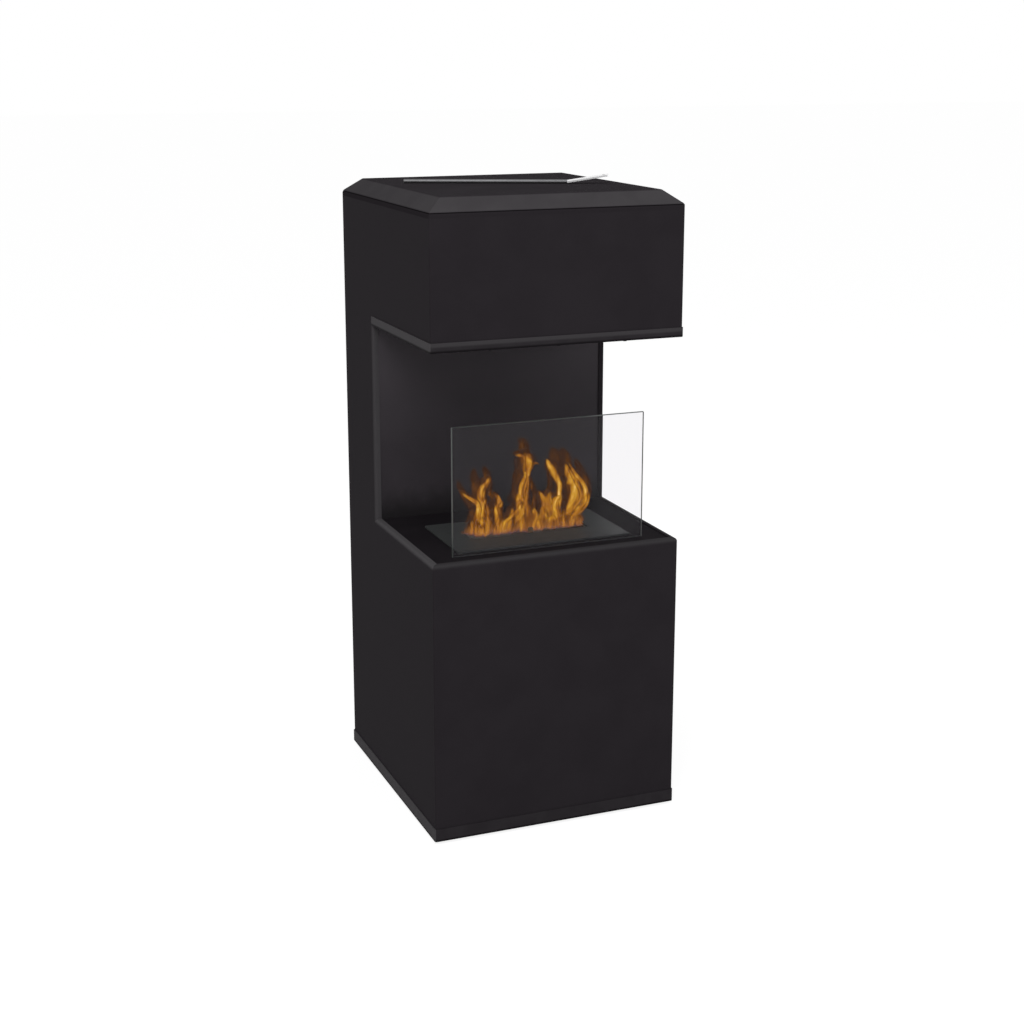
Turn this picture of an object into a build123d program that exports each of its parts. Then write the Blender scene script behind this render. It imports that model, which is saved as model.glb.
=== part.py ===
from build123d import *
import os

os.makedirs("parts", exist_ok=True)

# A free-standing bioethanol fireplace: a black sheet-steel tower with a base, a back
# column and a hood, open to the front, left and right between them. Millimetres, +Z up,
# the front faces -Y, and the origin is on the floor under the middle of the tower.

# ---------------------------------------------------------------- driving dimensions
# tower
body_width = 410.0
body_depth = 435.0
body_height = 1000.0
spine_depth = 152.0
shelf_rim_z = 454.0
hood_z = 776.0
sheet = 1.5
corner_inner_r = 0.5
bend_inner_r = 3.5
flange = 14.0
opening_flange = 10.0

# top cap
cap_skirt = 8.0
cap_bevel_rise = 21.0
cap_bevel_run = 27.0
cap_lower_round = 8.0
cap_upper_round = 4.0

# the two trays that close the base and the hood from below
floor_gap = 5.0
plinth_band = 21.0
hood_band = 15.0
tray_edge_round = 1.0
tray_wrap = 1.5
tongue_gap = 0.3

# shelf, its rails and the back wall of the fire opening
lap_clearance = 0.2
rail_leg = 18.0
rail_wall = 2.0
front_rail_inset = 8.5
back_rail_gap = 11.0
wall_overhang = 12.0

# burner
plate_length = 290.0
plate_width = 160.0
plate_thickness = 3.0
plate_corner_r = 3.0
plate_edge_round = 0.75
plate_front_inset = 52.0
slot_length = 200.0
slot_width = 40.0
slot_corner_r = 4.0
plate_lap = 9.0
well_gap = 3.0
well_sheet = 1.0
well_depth = 60.0
well_lip = 7.0
well_corner_r = 8.0
tank_sheet = 1.2
tank_floor_gap = 3.0
wick_height = 28.0
wick_gap = 2.0

# damper under the burner's top plate
damper_thickness = 1.2
damper_gap = 0.3
damper_end_lap = 8.0
damper_front_lap = 3.0
damper_travel = 34.0
guide_wall = 1.5
guide_lip = 9.0
guide_side_gap = 0.4
tab_width = 8.0
tab_thickness = 2.0
tab_rise = 8.0
tab_inset = 2.0
tab_corner_r = 1.5
tab_back_lap = 5.0

# glass screen
glass_length = 320.0
glass_thickness = 5.0
glass_above_rim = 201.0
glass_front_inset = 36.0
glass_corner_r = 2.0
glass_side_gap = 0.1
glass_foot_gap = 0.1
liner_wall = 0.8
liner_floor = 1.5
channel_wall = 1.5
channel_depth = 17.0

# regulator tool, lying on the cap
tool_lift = 0.3
shank_r = 3.0
shank_length = 259.0
shank_start = (-148.0, 67.5)
shank_turn = -23.7
shank_end_round = 1.2
blade_length = 66.0
blade_width = 15.0
blade_thickness = 2.5
blade_kink = 10.0
blade_tip_r = 3.0
blade_slot_inset = 8.0
blade_slot_gap = 0.75

# levelling feet
foot_inset = 40.0
pad_r = 16.0
pad_height = 3.5
pad_edge_round = 1.0
stud_r = 4.0
stud_length = 32.0
stud_end_round = 1.0
stud_clearance = 0.05
boss_r = 8.0
boss_height = 8.0
tray_hole_gap = 0.4

# inside of the back column
stiffener_height = 40.0
stiffener_reach = 20.0
fixing_bar_height = 40.0
fixing_bar_thickness = 3.0
fixing_bar_gap = 11.0
fixing_drop = 100.0
fixing_hole_r = 3.25
fixing_hole_inset = 30.0

# screws
screw_hole_gap = 0.05
panel_screw_r = 2.0
panel_screw_head_r = 4.0
panel_screw_head = 1.4
panel_screw_length = 8.0
panel_screw_inset = 8.0
panel_screw_end_inset = 60.0
panel_screw_rows = 5
tray_screw_r = 1.75
tray_screw_head_r = 3.25
tray_screw_head = 1.6
tray_screw_length = 8.0
tray_screw_inset = 6.0
tray_screw_pitch_y = 95.0
tray_screw_pitch_x = 110.0
drill_reach = 9.0

# ---------------------------------------------------------------- places
half_width = body_width / 2
front_y = -body_depth / 2
rear_y = body_depth / 2
rear_sheet_y = rear_y - sheet
spine_y = rear_y - spine_depth
tray_floor_z = floor_gap + sheet
cap_bottom_z = body_height - cap_bevel_rise - cap_skirt
hood_form_z = hood_z + sheet
shelf_z = shelf_rim_z - sheet
shelf_under_z = shelf_z - sheet
wall_front_y = spine_y + sheet
bend_r = bend_inner_r + sheet
corner_r = corner_inner_r + sheet
lap_half = half_width - bend_r - lap_clearance

foot_x = half_width - foot_inset
foot_y = body_depth / 2 - foot_inset
fixing_z = body_height - fixing_drop
fixing_bar_length = 2 * (half_width - flange - fixing_bar_gap)
fixing_spacing = fixing_bar_length - 2 * fixing_hole_inset

plate_front_y = front_y + plate_front_inset
plate_mid_y = plate_front_y + plate_width / 2
plate_top_z = shelf_z + plate_thickness
slot_front_y = plate_mid_y - slot_width / 2
cutout_length = plate_length - 2 * plate_lap
cutout_width = plate_width - 2 * plate_lap
tank_length = cutout_length - 2 * well_gap
tank_width = cutout_width - 2 * well_gap
well_floor_z = shelf_under_z - well_depth
tank_floor_z = well_floor_z + well_sheet + tank_floor_gap

glass_mid_y = front_y + glass_front_inset + glass_thickness / 2
channel_length = glass_length + 2 * glass_side_gap + 2 * liner_wall
channel_width = glass_thickness + 2 * glass_side_gap + 2 * liner_wall
channel_floor_z = shelf_under_z - channel_depth
glass_foot_z = channel_floor_z + channel_wall + liner_floor + glass_foot_gap
glass_top_z = shelf_rim_z + glass_above_rim


def finish(builder, name):
    """Labels a finished piece and writes it as its own file."""
    builder.part.label = name
    export_step(builder.part, f"parts/{name}.step")


# ---------------------------------------------------------------- the welded shell
# The tower's outside is one C-shaped form. The panels are the skin between that form and
# the same form moved in by one sheet, cut apart at welded corners.


def body_form(inset):
    """The C-shaped form as a solid, with every face moved in by inset."""
    wide = half_width - inset
    front = front_y + inset
    back = rear_sheet_y - inset
    low = tray_floor_z + inset
    high = cap_bottom_z - inset
    rim = shelf_rim_z - inset
    under = hood_form_z + inset
    spine = spine_y + inset
    outline = [
        (front, low),
        (back, low),
        (back, high),
        (front, high),
        (front, under),
        (spine, under),
        (spine, rim),
        (front, rim),
    ]
    with BuildPart() as form:
        with BuildSketch(Plane.YZ.offset(-wide)):
            with BuildLine():
                Polyline(outline, close=True)
            make_face()
        extrude(amount=2 * wide)
        rim_edges = form.edges().filter_by_position(Axis.Z, rim, rim).sort_by(Axis.Y)[:-1]
        upright = form.edges().filter_by(Axis.Z)
        wall_edges = upright.filter_by_position(Axis.Y, spine, spine)
        fillet(rim_edges + wall_edges, radius=bend_r - inset)
        upright = form.edges().filter_by(Axis.Z)
        fillet(upright.filter_by_position(Axis.Y, front, front), radius=corner_r - inset)
    return form.part


outer_form = body_form(0)
inner_form = body_form(sheet)

with BuildPart() as skin:
    add(outer_form)
    add(inner_form, mode=Mode.SUBTRACT)

left_mitre = Plane(origin=(-half_width, front_y, 0), x_dir=(0, 0, 1), z_dir=(-1, 1, 0))
right_mitre = Plane(origin=(half_width, front_y, 0), x_dir=(0, 0, 1), z_dir=(1, 1, 0))
opening_middle_z = (shelf_rim_z + hood_form_z) / 2
opening_cut = hood_form_z - shelf_rim_z + 2 * bend_r
opening_run = spine_y - front_y + 2 * bend_r
panel_screw_x = half_width - panel_screw_inset
panel_screw_low_z = tray_floor_z + panel_screw_end_inset
panel_screw_high_z = cap_bottom_z - panel_screw_end_inset
panel_screw_pitch = (panel_screw_high_z - panel_screw_low_z) / (panel_screw_rows - 1)
panel_screw_zs = [panel_screw_low_z + i * panel_screw_pitch for i in range(panel_screw_rows)]
tray_screw_x = half_width - tray_screw_inset
tray_screw_front_y = front_y + tray_screw_inset
hood_screw_mid_y = (front_y + spine_y) / 2
side_screw_ys = [-tray_screw_pitch_y, 0, tray_screw_pitch_y]
front_screw_xs = [-tray_screw_pitch_x, 0, tray_screw_pitch_x]


def panel_screw_places(side):
    """Where the rear panel's screws go down one side."""
    return [(side * panel_screw_x, rear_y, z) for z in panel_screw_zs]


def tray_screw_side_places(z, middle_y):
    """Where a tray's screws go on both sides, about middle_y."""
    return [(s * tray_screw_x, middle_y + y, z) for s in (-1, 1) for y in side_screw_ys]


def tray_screw_front_places(z):
    """Where a tray's screws go along the front."""
    return [(x, tray_screw_front_y, z) for x in front_screw_xs]


# The left side is one C-shaped pressing, with its edges turned in all round.
with BuildPart() as left_side_panel:
    add(skin.part)
    with Locations((-half_width + flange / 2, 0, body_height / 2)):
        Box(flange, 2 * body_depth, 2 * body_height, mode=Mode.INTERSECT)
    with Locations((-half_width + opening_flange, front_y, opening_middle_z)):
        Box(
            flange,
            2 * opening_run,
            opening_cut,
            align=(Align.MIN, Align.CENTER, Align.CENTER),
            mode=Mode.SUBTRACT,
        )
    split(bisect_by=left_mitre, keep=Keep.TOP)
    with Locations([Location(p, (90, 0, 0)) for p in panel_screw_places(-1)]):
        Cylinder(panel_screw_r + screw_hole_gap, drill_reach, mode=Mode.SUBTRACT)
    with Locations(
        tray_screw_side_places(tray_floor_z, 0) + tray_screw_side_places(hood_form_z, hood_screw_mid_y)
    ):
        Cylinder(tray_screw_r + screw_hole_gap, drill_reach, mode=Mode.SUBTRACT)
finish(left_side_panel, "left_side_panel")

with BuildPart() as right_side_panel:
    mirror(left_side_panel.part, about=Plane.YZ)
finish(right_side_panel, "right_side_panel")

# The base's front closes the corners at two mitres and rolls back over the shelf's edge.
with BuildPart() as base_front_panel:
    add(skin.part)
    with Locations((0, front_y + flange / 2, shelf_rim_z / 2)):
        Box(2 * body_width, flange, shelf_rim_z, mode=Mode.INTERSECT)
    with Locations((0, front_y + opening_flange, shelf_rim_z)):
        Box(
            2 * body_width,
            flange,
            4 * bend_r,
            align=(Align.CENTER, Align.MIN, Align.CENTER),
            mode=Mode.SUBTRACT,
        )
    split(bisect_by=left_mitre, keep=Keep.BOTTOM)
    split(bisect_by=right_mitre, keep=Keep.BOTTOM)
    with Locations(tray_screw_front_places(tray_floor_z)):
        Cylinder(tray_screw_r + screw_hole_gap, drill_reach, mode=Mode.SUBTRACT)
finish(base_front_panel, "base_front_panel")

with BuildPart() as hood_front_panel:
    add(skin.part)
    with Locations((0, front_y + flange / 2, hood_form_z + body_height / 2)):
        Box(2 * body_width, flange, body_height, mode=Mode.INTERSECT)
    split(bisect_by=left_mitre, keep=Keep.BOTTOM)
    split(bisect_by=right_mitre, keep=Keep.BOTTOM)
    with Locations(tray_screw_front_places(hood_form_z)):
        Cylinder(tray_screw_r + screw_hole_gap, drill_reach, mode=Mode.SUBTRACT)
finish(hood_front_panel, "hood_front_panel")

# ---------------------------------------------------------------- rear panel
with BuildPart() as rear_panel:
    with BuildSketch(Plane.XZ.offset(-rear_y)):
        with Locations((0, (tray_floor_z + cap_bottom_z) / 2)):
            Rectangle(body_width, cap_bottom_z - tray_floor_z)
    extrude(amount=sheet)
    with Locations([Location(p, (90, 0, 0)) for p in panel_screw_places(-1) + panel_screw_places(1)]):
        Cylinder(panel_screw_r + screw_hole_gap, drill_reach, mode=Mode.SUBTRACT)
    with Locations(Location((0, rear_y, fixing_z), (90, 0, 0))):
        with GridLocations(fixing_spacing, 0, 2, 1):
            Cylinder(fixing_hole_r, drill_reach, mode=Mode.SUBTRACT)
finish(rear_panel, "rear_panel")

with BuildPart() as rear_panel_screws:
    with Locations([Location(p, (90, 0, 0)) for p in panel_screw_places(-1) + panel_screw_places(1)]):
        Cylinder(
            panel_screw_r,
            panel_screw_length,
            align=(Align.CENTER, Align.CENTER, Align.MIN),
        )
        Cylinder(
            panel_screw_head_r,
            panel_screw_head,
            align=(Align.CENTER, Align.CENTER, Align.MAX),
        )
finish(rear_panel_screws, "rear_panel_screws")

# A bar behind the rear panel takes the bolts of an anti-tip wall bracket.
with BuildPart() as wall_fixing_bar:
    with BuildSketch(Plane.XZ.offset(-rear_sheet_y)):
        with Locations((0, fixing_z)):
            Rectangle(fixing_bar_length, fixing_bar_height)
            with GridLocations(fixing_spacing, 0, 2, 1):
                Circle(fixing_hole_r, mode=Mode.SUBTRACT)
    extrude(amount=fixing_bar_thickness)
finish(wall_fixing_bar, "wall_fixing_bar")

# ---------------------------------------------------------------- fire opening
with BuildPart() as fire_back_wall:
    with BuildSketch(Plane.XZ.offset(-wall_front_y)):
        with Locations((0, (shelf_under_z + hood_form_z) / 2)):
            Rectangle(2 * lap_half, hood_form_z - shelf_under_z + 2 * wall_overhang)
    extrude(amount=-sheet)
finish(fire_back_wall, "fire_back_wall")


# Two channels across the rear of the back wall, open to the rear, share its height evenly.
stiffener_pitch = (hood_z - shelf_rim_z) / 3

for step, place in ((1, "lower"), (2, "upper")):
    stiffener_z = shelf_rim_z + step * stiffener_pitch
    with BuildPart() as wall_stiffener:
        with BuildSketch(Plane.YZ.offset(-lap_half)):
            with Locations((wall_front_y + sheet, stiffener_z)):
                Rectangle(stiffener_reach, stiffener_height, align=(Align.MIN, Align.CENTER))
            with Locations((wall_front_y + 2 * sheet, stiffener_z)):
                Rectangle(
                    stiffener_reach,
                    stiffener_height - 2 * sheet,
                    align=(Align.MIN, Align.CENTER),
                    mode=Mode.SUBTRACT,
                )
        extrude(amount=2 * lap_half)
    finish(wall_stiffener, f"back_wall_stiffener_{place}")

# The shelf laps under the turned-in edges, so it lies one sheet below the rim.
with BuildPart() as shelf_plate:
    shelf_front_y = front_y + bend_r + lap_clearance
    with BuildSketch(Plane.XY.offset(shelf_under_z)):
        with Locations((0, (shelf_front_y + wall_front_y) / 2)):
            Rectangle(2 * lap_half, wall_front_y - shelf_front_y)
        with Locations((0, plate_mid_y)):
            RectangleRounded(cutout_length, cutout_width, well_corner_r, mode=Mode.SUBTRACT)
        with Locations((0, glass_mid_y)):
            Rectangle(channel_length, channel_width, mode=Mode.SUBTRACT)
    extrude(amount=sheet)
finish(shelf_plate, "shelf_plate")


def shelf_rail(name, front):
    """An angle under the shelf from side to side, its upright leg at the front."""
    with BuildPart() as rail:
        with BuildSketch(Plane.YZ.offset(-lap_half)):
            with Locations((front, shelf_under_z)):
                Rectangle(rail_wall, rail_leg, align=(Align.MIN, Align.MAX))
                Rectangle(rail_leg, rail_wall, align=(Align.MIN, Align.MAX))
        extrude(amount=2 * lap_half)
    finish(rail, name)


well_back_y = plate_mid_y + cutout_width / 2 + well_lip
shelf_rail("shelf_rail_front", front_y + front_rail_inset)
shelf_rail("shelf_rail_back", well_back_y + back_rail_gap)

# ---------------------------------------------------------------- trays
def tray_outline(front, back, wide, corner):
    """A rectangle whose two front corners are rounded."""
    with BuildSketch() as outline:
        with Locations((0, (front + back) / 2)):
            Rectangle(2 * wide, back - front)
        fillet(outline.vertices().group_by(Axis.Y)[0], radius=corner)
    return outline.sketch


wrap_width = half_width + tray_wrap
hood_outer = tray_outline(front_y - tray_wrap, spine_y, wrap_width, corner_r + tray_wrap)
hood_inner = tray_outline(front_y, 2 * spine_y, half_width, corner_r)
tongue_width = 2 * (half_width - opening_flange - tongue_gap)

# The hood's tray closes it from below, and its turned-up edge makes the hood's lower band.
with BuildPart() as hood_tray:
    with BuildSketch(Plane.XY.offset(hood_z)):
        add(hood_outer)
    extrude(amount=hood_band)
    lower_edges = hood_tray.faces().sort_by(Axis.Z)[0].edges()
    fillet(lower_edges.sort_by(Axis.Y)[:-1], radius=tray_edge_round)
    with BuildSketch(Plane.XY.offset(hood_form_z)):
        add(hood_inner)
    extrude(amount=hood_band, mode=Mode.SUBTRACT)
    with BuildSketch(Plane.XY.offset(hood_z)):
        with Locations((0, spine_y)):
            Rectangle(tongue_width, sheet, align=(Align.CENTER, Align.MIN))
    extrude(amount=sheet)
    with Locations(tray_screw_side_places(hood_z, hood_screw_mid_y) + tray_screw_front_places(hood_z)):
        Cylinder(tray_screw_r + screw_hole_gap, drill_reach, mode=Mode.SUBTRACT)
finish(hood_tray, "hood_tray")

base_outer = tray_outline(front_y - tray_wrap, rear_y + tray_wrap, wrap_width, corner_r + tray_wrap)
base_inner = tray_outline(front_y, rear_y, half_width, corner_r)
foot_places = {
    "front_left": (-foot_x, -foot_y),
    "front_right": (foot_x, -foot_y),
    "back_left": (-foot_x, foot_y),
    "back_right": (foot_x, foot_y),
}

# The base's tray is the tower's floor, and its turned-up edge makes the plinth band.
with BuildPart() as base_tray:
    with BuildSketch(Plane.XY.offset(floor_gap)):
        add(base_outer)
    extrude(amount=plinth_band)
    fillet(base_tray.faces().sort_by(Axis.Z)[0].edges(), radius=tray_edge_round)
    with BuildSketch(Plane.XY.offset(tray_floor_z)):
        add(base_inner)
    extrude(amount=plinth_band, mode=Mode.SUBTRACT)
    with Locations([(x, y, floor_gap) for x, y in foot_places.values()]):
        Cylinder(stud_r + tray_hole_gap, drill_reach, mode=Mode.SUBTRACT)
    with Locations(tray_screw_side_places(floor_gap, 0) + tray_screw_front_places(floor_gap)):
        Cylinder(tray_screw_r + screw_hole_gap, drill_reach, mode=Mode.SUBTRACT)
finish(base_tray, "base_tray")


def tray_screws(name, places):
    """Screws whose heads sit under a tray's floor."""
    with BuildPart() as screws:
        with Locations(places):
            Cylinder(tray_screw_r, tray_screw_length, align=(Align.CENTER, Align.CENTER, Align.MIN))
            Cylinder(tray_screw_head_r, tray_screw_head, align=(Align.CENTER, Align.CENTER, Align.MAX))
    finish(screws, name)


tray_screws(
    "hood_tray_screws",
    tray_screw_side_places(hood_z, hood_screw_mid_y) + tray_screw_front_places(hood_z),
)
tray_screws(
    "base_tray_screws",
    tray_screw_side_places(floor_gap, 0) + tray_screw_front_places(floor_gap),
)

# ---------------------------------------------------------------- top cap
def cap_form(inset):
    """The bevelled cap as a solid, with every face but its foot moved in by inset."""
    wide = half_width - inset
    deep = rear_y - inset
    high = body_height - inset
    bevel_z = cap_bottom_z + cap_skirt
    lower_r = cap_lower_round - inset
    upper_r = cap_upper_round - inset

    def bevelled(half, run):
        return [
            (-half, cap_bottom_z),
            (-half, bevel_z),
            (-half + run, high),
            (half - run, high),
            (half, bevel_z),
            (half, cap_bottom_z),
        ]

    with BuildPart() as form:
        with BuildSketch(Plane.XY.offset(cap_bottom_z)):
            Rectangle(2 * wide, 2 * deep)
            fillet(vertices().group_by(Axis.Y)[0], radius=corner_r - inset)
        extrude(amount=body_height)
        for plane, half in ((Plane.XZ, wide), (Plane.YZ, deep)):
            with BuildSketch(plane):
                with BuildLine():
                    Polyline(bevelled(half, cap_bevel_run), close=True)
                make_face()
                fillet(vertices().group_by(Axis.Y)[1], radius=lower_r)
                fillet(vertices().group_by(Axis.Y)[-1], radius=upper_r)
            extrude(amount=2 * body_depth, both=True, mode=Mode.INTERSECT)
    return form.part


cap_outer = cap_form(0)
cap_inner = cap_form(sheet)

with BuildPart() as top_cap:
    add(cap_outer)
    add(cap_inner, mode=Mode.SUBTRACT)
finish(top_cap, "top_cap")

# ---------------------------------------------------------------- burner well
# A fixed pan under the shelf catches spilt fuel and keeps the lift-out tank in place.
with BuildPart() as burner_well:
    with BuildSketch(Plane.XY.offset(well_floor_z)):
        with Locations((0, plate_mid_y)):
            RectangleRounded(
                cutout_length + 2 * well_sheet,
                cutout_width + 2 * well_sheet,
                well_corner_r + well_sheet,
            )
    extrude(amount=well_depth)
    with BuildSketch(Plane.XY.offset(shelf_under_z)):
        with Locations((0, plate_mid_y)):
            RectangleRounded(
                cutout_length + 2 * well_lip, cutout_width + 2 * well_lip, well_corner_r + well_lip
            )
    extrude(amount=-well_sheet)
    with BuildSketch(Plane.XY.offset(well_floor_z + well_sheet)):
        with Locations((0, plate_mid_y)):
            RectangleRounded(cutout_length, cutout_width, well_corner_r)
    extrude(amount=well_depth, mode=Mode.SUBTRACT)
finish(burner_well, "burner_well")

# ---------------------------------------------------------------- burner
tank_corner_r = well_corner_r - well_gap

with BuildPart() as burner_tank:
    with BuildSketch(Plane.XY.offset(tank_floor_z)):
        with Locations((0, plate_mid_y)):
            RectangleRounded(tank_length, tank_width, tank_corner_r)
    extrude(amount=shelf_z - tank_floor_z)
    with BuildSketch(Plane.XY.offset(tank_floor_z + tank_sheet)):
        with Locations((0, plate_mid_y)):
            RectangleRounded(
                tank_length - 2 * tank_sheet, tank_width - 2 * tank_sheet, tank_corner_r - tank_sheet
            )
    extrude(amount=well_depth, mode=Mode.SUBTRACT)
finish(burner_tank, "burner_tank")

with BuildPart() as wick_block:
    with BuildSketch(Plane.XY.offset(tank_floor_z + tank_sheet)):
        with Locations((0, plate_mid_y)):
            RectangleRounded(
                tank_length - 2 * tank_sheet - 2 * wick_gap,
                tank_width - 2 * tank_sheet - 2 * wick_gap,
                tank_corner_r - tank_sheet,
            )
    extrude(amount=wick_height)
finish(wick_block, "wick_block")

with BuildPart() as burner_top_plate:
    with BuildSketch(Plane.XY.offset(shelf_z)):
        with Locations((0, plate_mid_y)):
            RectangleRounded(plate_length, plate_width, plate_corner_r)
            RectangleRounded(slot_length, slot_width, slot_corner_r, mode=Mode.SUBTRACT)
    extrude(amount=plate_thickness)
    top_edges = burner_top_plate.faces().sort_by(Axis.Z)[-1].edges()
    fillet(top_edges, radius=plate_edge_round)
finish(burner_top_plate, "burner_top_plate")

# The damper hangs just under the top plate in two guides and slides front to back. It is
# modelled open, with its tab at the front edge of the slot.
damper_top_z = shelf_z - damper_gap
damper_under_z = damper_top_z - damper_thickness
damper_half = slot_length / 2 + damper_end_lap
tab_mid_y = slot_front_y + tab_inset + tab_thickness / 2
damper_front_y = slot_front_y - damper_front_lap - damper_travel
damper_back_y = tab_mid_y + tab_thickness / 2 + tab_back_lap
guide_web_x = damper_half + guide_side_gap
lip_top_z = damper_under_z - damper_gap
guide_back_y = damper_back_y + damper_travel
guide_length = guide_back_y - damper_front_y

with BuildPart() as damper_plate:
    with BuildSketch(Plane.XY.offset(damper_under_z)):
        with Locations((0, (damper_front_y + damper_back_y) / 2)):
            Rectangle(2 * damper_half, damper_back_y - damper_front_y)
    extrude(amount=damper_thickness)
finish(damper_plate, "damper_plate")

with BuildPart() as damper_tab:
    tab_top_z = plate_top_z + tab_rise
    with BuildSketch(Plane.XZ.offset(-tab_mid_y)):
        with Locations((0, damper_top_z)):
            Rectangle(tab_width, tab_top_z - damper_top_z, align=(Align.CENTER, Align.MIN))
        fillet(vertices().group_by(Axis.Y)[-1], radius=tab_corner_r)
    extrude(amount=tab_thickness / 2, both=True)
finish(damper_tab, "damper_tab")


def damper_guide(name, side):
    """A folded strip under the top plate that carries one end of the damper."""
    with BuildPart() as guide:
        with BuildSketch(Plane.XZ.offset(-damper_front_y)):
            with Locations((side * guide_web_x, shelf_z)):
                Rectangle(
                    guide_wall,
                    shelf_z - lip_top_z + guide_wall,
                    align=(Align.MIN if side > 0 else Align.MAX, Align.MAX),
                )
            with Locations((side * (guide_web_x + guide_wall), lip_top_z)):
                Rectangle(
                    guide_lip,
                    guide_wall,
                    align=(Align.MAX if side > 0 else Align.MIN, Align.MAX),
                )
        extrude(amount=-guide_length)
    finish(guide, name)


damper_guide("damper_guide_left", -1)
damper_guide("damper_guide_right", 1)

# ---------------------------------------------------------------- glass screen
with BuildPart() as glass_channel:
    with BuildSketch(Plane.XY.offset(channel_floor_z)):
        with Locations((0, glass_mid_y)):
            Rectangle(channel_length + 2 * channel_wall, channel_width + 2 * channel_wall)
    extrude(amount=channel_depth)
    with BuildSketch(Plane.XY.offset(channel_floor_z + channel_wall)):
        with Locations((0, glass_mid_y)):
            Rectangle(channel_length, channel_width)
    extrude(amount=channel_depth, mode=Mode.SUBTRACT)
finish(glass_channel, "glass_channel")

with BuildPart() as glass_channel_liner:
    with BuildSketch(Plane.XY.offset(channel_floor_z + channel_wall)):
        with Locations((0, glass_mid_y)):
            Rectangle(channel_length, channel_width)
    extrude(amount=shelf_z - channel_floor_z - channel_wall)
    with BuildSketch(Plane.XY.offset(channel_floor_z + channel_wall + liner_floor)):
        with Locations((0, glass_mid_y)):
            Rectangle(channel_length - 2 * liner_wall, channel_width - 2 * liner_wall)
    extrude(amount=channel_depth, mode=Mode.SUBTRACT)
finish(glass_channel_liner, "glass_channel_liner")

with BuildPart() as glass_pane:
    with BuildSketch(Plane.XZ.offset(-glass_mid_y)):
        with Locations((0, (glass_foot_z + glass_top_z) / 2)):
            RectangleRounded(glass_length, glass_top_z - glass_foot_z, glass_corner_r)
    extrude(amount=glass_thickness / 2, both=True)
finish(glass_pane, "glass_pane")

# ---------------------------------------------------------------- regulator tool
# A round shank with a flat kinked blade, laid on the cap. The slot across the blade drops
# over the damper's tab to pull or push it.
shank_z = body_height + tool_lift + shank_r
shank_foot = Plane(origin=(*shank_start, shank_z)).rotated((0, 0, shank_turn))
shank_way = shank_foot.x_dir
weld_point = shank_foot.origin + shank_way * shank_length
shank_plane = Plane(origin=shank_foot.origin, x_dir=(0, 0, 1), z_dir=shank_way)
weld_plane = Plane(origin=weld_point, x_dir=(0, 0, 1), z_dir=shank_way)
blade_frame = Plane(weld_point, x_dir=shank_way, z_dir=(0, 0, 1)).rotated((0, -blade_kink, 0))

with BuildPart() as tool_shank:
    with BuildSketch(shank_plane):
        Circle(shank_r)
    extrude(amount=shank_length)
    far_end = tool_shank.faces().sort_by(Axis(weld_point, shank_way))[0]
    fillet(far_end.edges(), radius=shank_end_round)
finish(tool_shank, "tool_shank")

with BuildPart() as tool_blade:
    with BuildSketch(blade_frame):
        with Locations((blade_length, 0)):
            Rectangle(blade_length + blade_width, blade_width, align=(Align.MAX, Align.CENTER))
        fillet(vertices().group_by(Axis.X)[-1], radius=blade_tip_r)
        with Locations((blade_length - blade_slot_inset, 0)):
            Rectangle(
                tab_thickness + 2 * blade_slot_gap,
                tab_width + 2 * blade_slot_gap,
                mode=Mode.SUBTRACT,
            )
    extrude(amount=blade_thickness / 2, both=True)
    split(bisect_by=weld_plane, keep=Keep.TOP)
finish(tool_blade, "tool_blade")

# ---------------------------------------------------------------- levelling feet
with BuildPart() as foot_bosses:
    with Locations([(x, y, tray_floor_z) for x, y in foot_places.values()]):
        Cylinder(boss_r, boss_height, align=(Align.CENTER, Align.CENTER, Align.MIN))
        Cylinder(
            stud_r + stud_clearance,
            boss_height,
            align=(Align.CENTER, Align.CENTER, Align.MIN),
            mode=Mode.SUBTRACT,
        )
finish(foot_bosses, "foot_bosses")

for corner, (x, y) in foot_places.items():
    with BuildPart() as foot_pad:
        with Locations((x, y, 0)):
            Cylinder(pad_r, pad_height, align=(Align.CENTER, Align.CENTER, Align.MIN))
        fillet(foot_pad.faces().sort_by(Axis.Z)[-1].edges(), radius=pad_edge_round)
    finish(foot_pad, f"foot_pad_{corner}")

    with BuildPart() as foot_stud:
        with Locations((x, y, pad_height)):
            Cylinder(stud_r, stud_length, align=(Align.CENTER, Align.CENTER, Align.MIN))
        fillet(foot_stud.faces().sort_by(Axis.Z)[-1].edges(), radius=stud_end_round)
    finish(foot_stud, f"foot_stud_{corner}")
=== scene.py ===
import math

import bmesh
import bpy
from mathutils import Matrix, Vector, noise


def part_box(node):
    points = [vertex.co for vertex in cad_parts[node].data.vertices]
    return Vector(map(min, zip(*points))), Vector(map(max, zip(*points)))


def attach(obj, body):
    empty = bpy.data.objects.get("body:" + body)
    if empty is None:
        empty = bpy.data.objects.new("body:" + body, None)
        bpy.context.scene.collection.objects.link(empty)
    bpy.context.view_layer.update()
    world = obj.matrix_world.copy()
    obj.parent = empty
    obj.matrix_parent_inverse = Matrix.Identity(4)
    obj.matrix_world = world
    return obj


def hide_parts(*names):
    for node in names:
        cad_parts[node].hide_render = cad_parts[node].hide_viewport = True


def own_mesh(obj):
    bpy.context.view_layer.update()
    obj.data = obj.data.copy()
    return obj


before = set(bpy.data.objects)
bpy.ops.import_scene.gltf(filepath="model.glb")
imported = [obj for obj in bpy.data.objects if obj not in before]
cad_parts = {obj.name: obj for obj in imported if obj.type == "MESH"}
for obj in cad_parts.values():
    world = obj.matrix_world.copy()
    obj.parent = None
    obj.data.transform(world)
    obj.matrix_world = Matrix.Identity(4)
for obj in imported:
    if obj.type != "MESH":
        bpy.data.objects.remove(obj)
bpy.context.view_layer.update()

MM = 0.001


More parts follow.
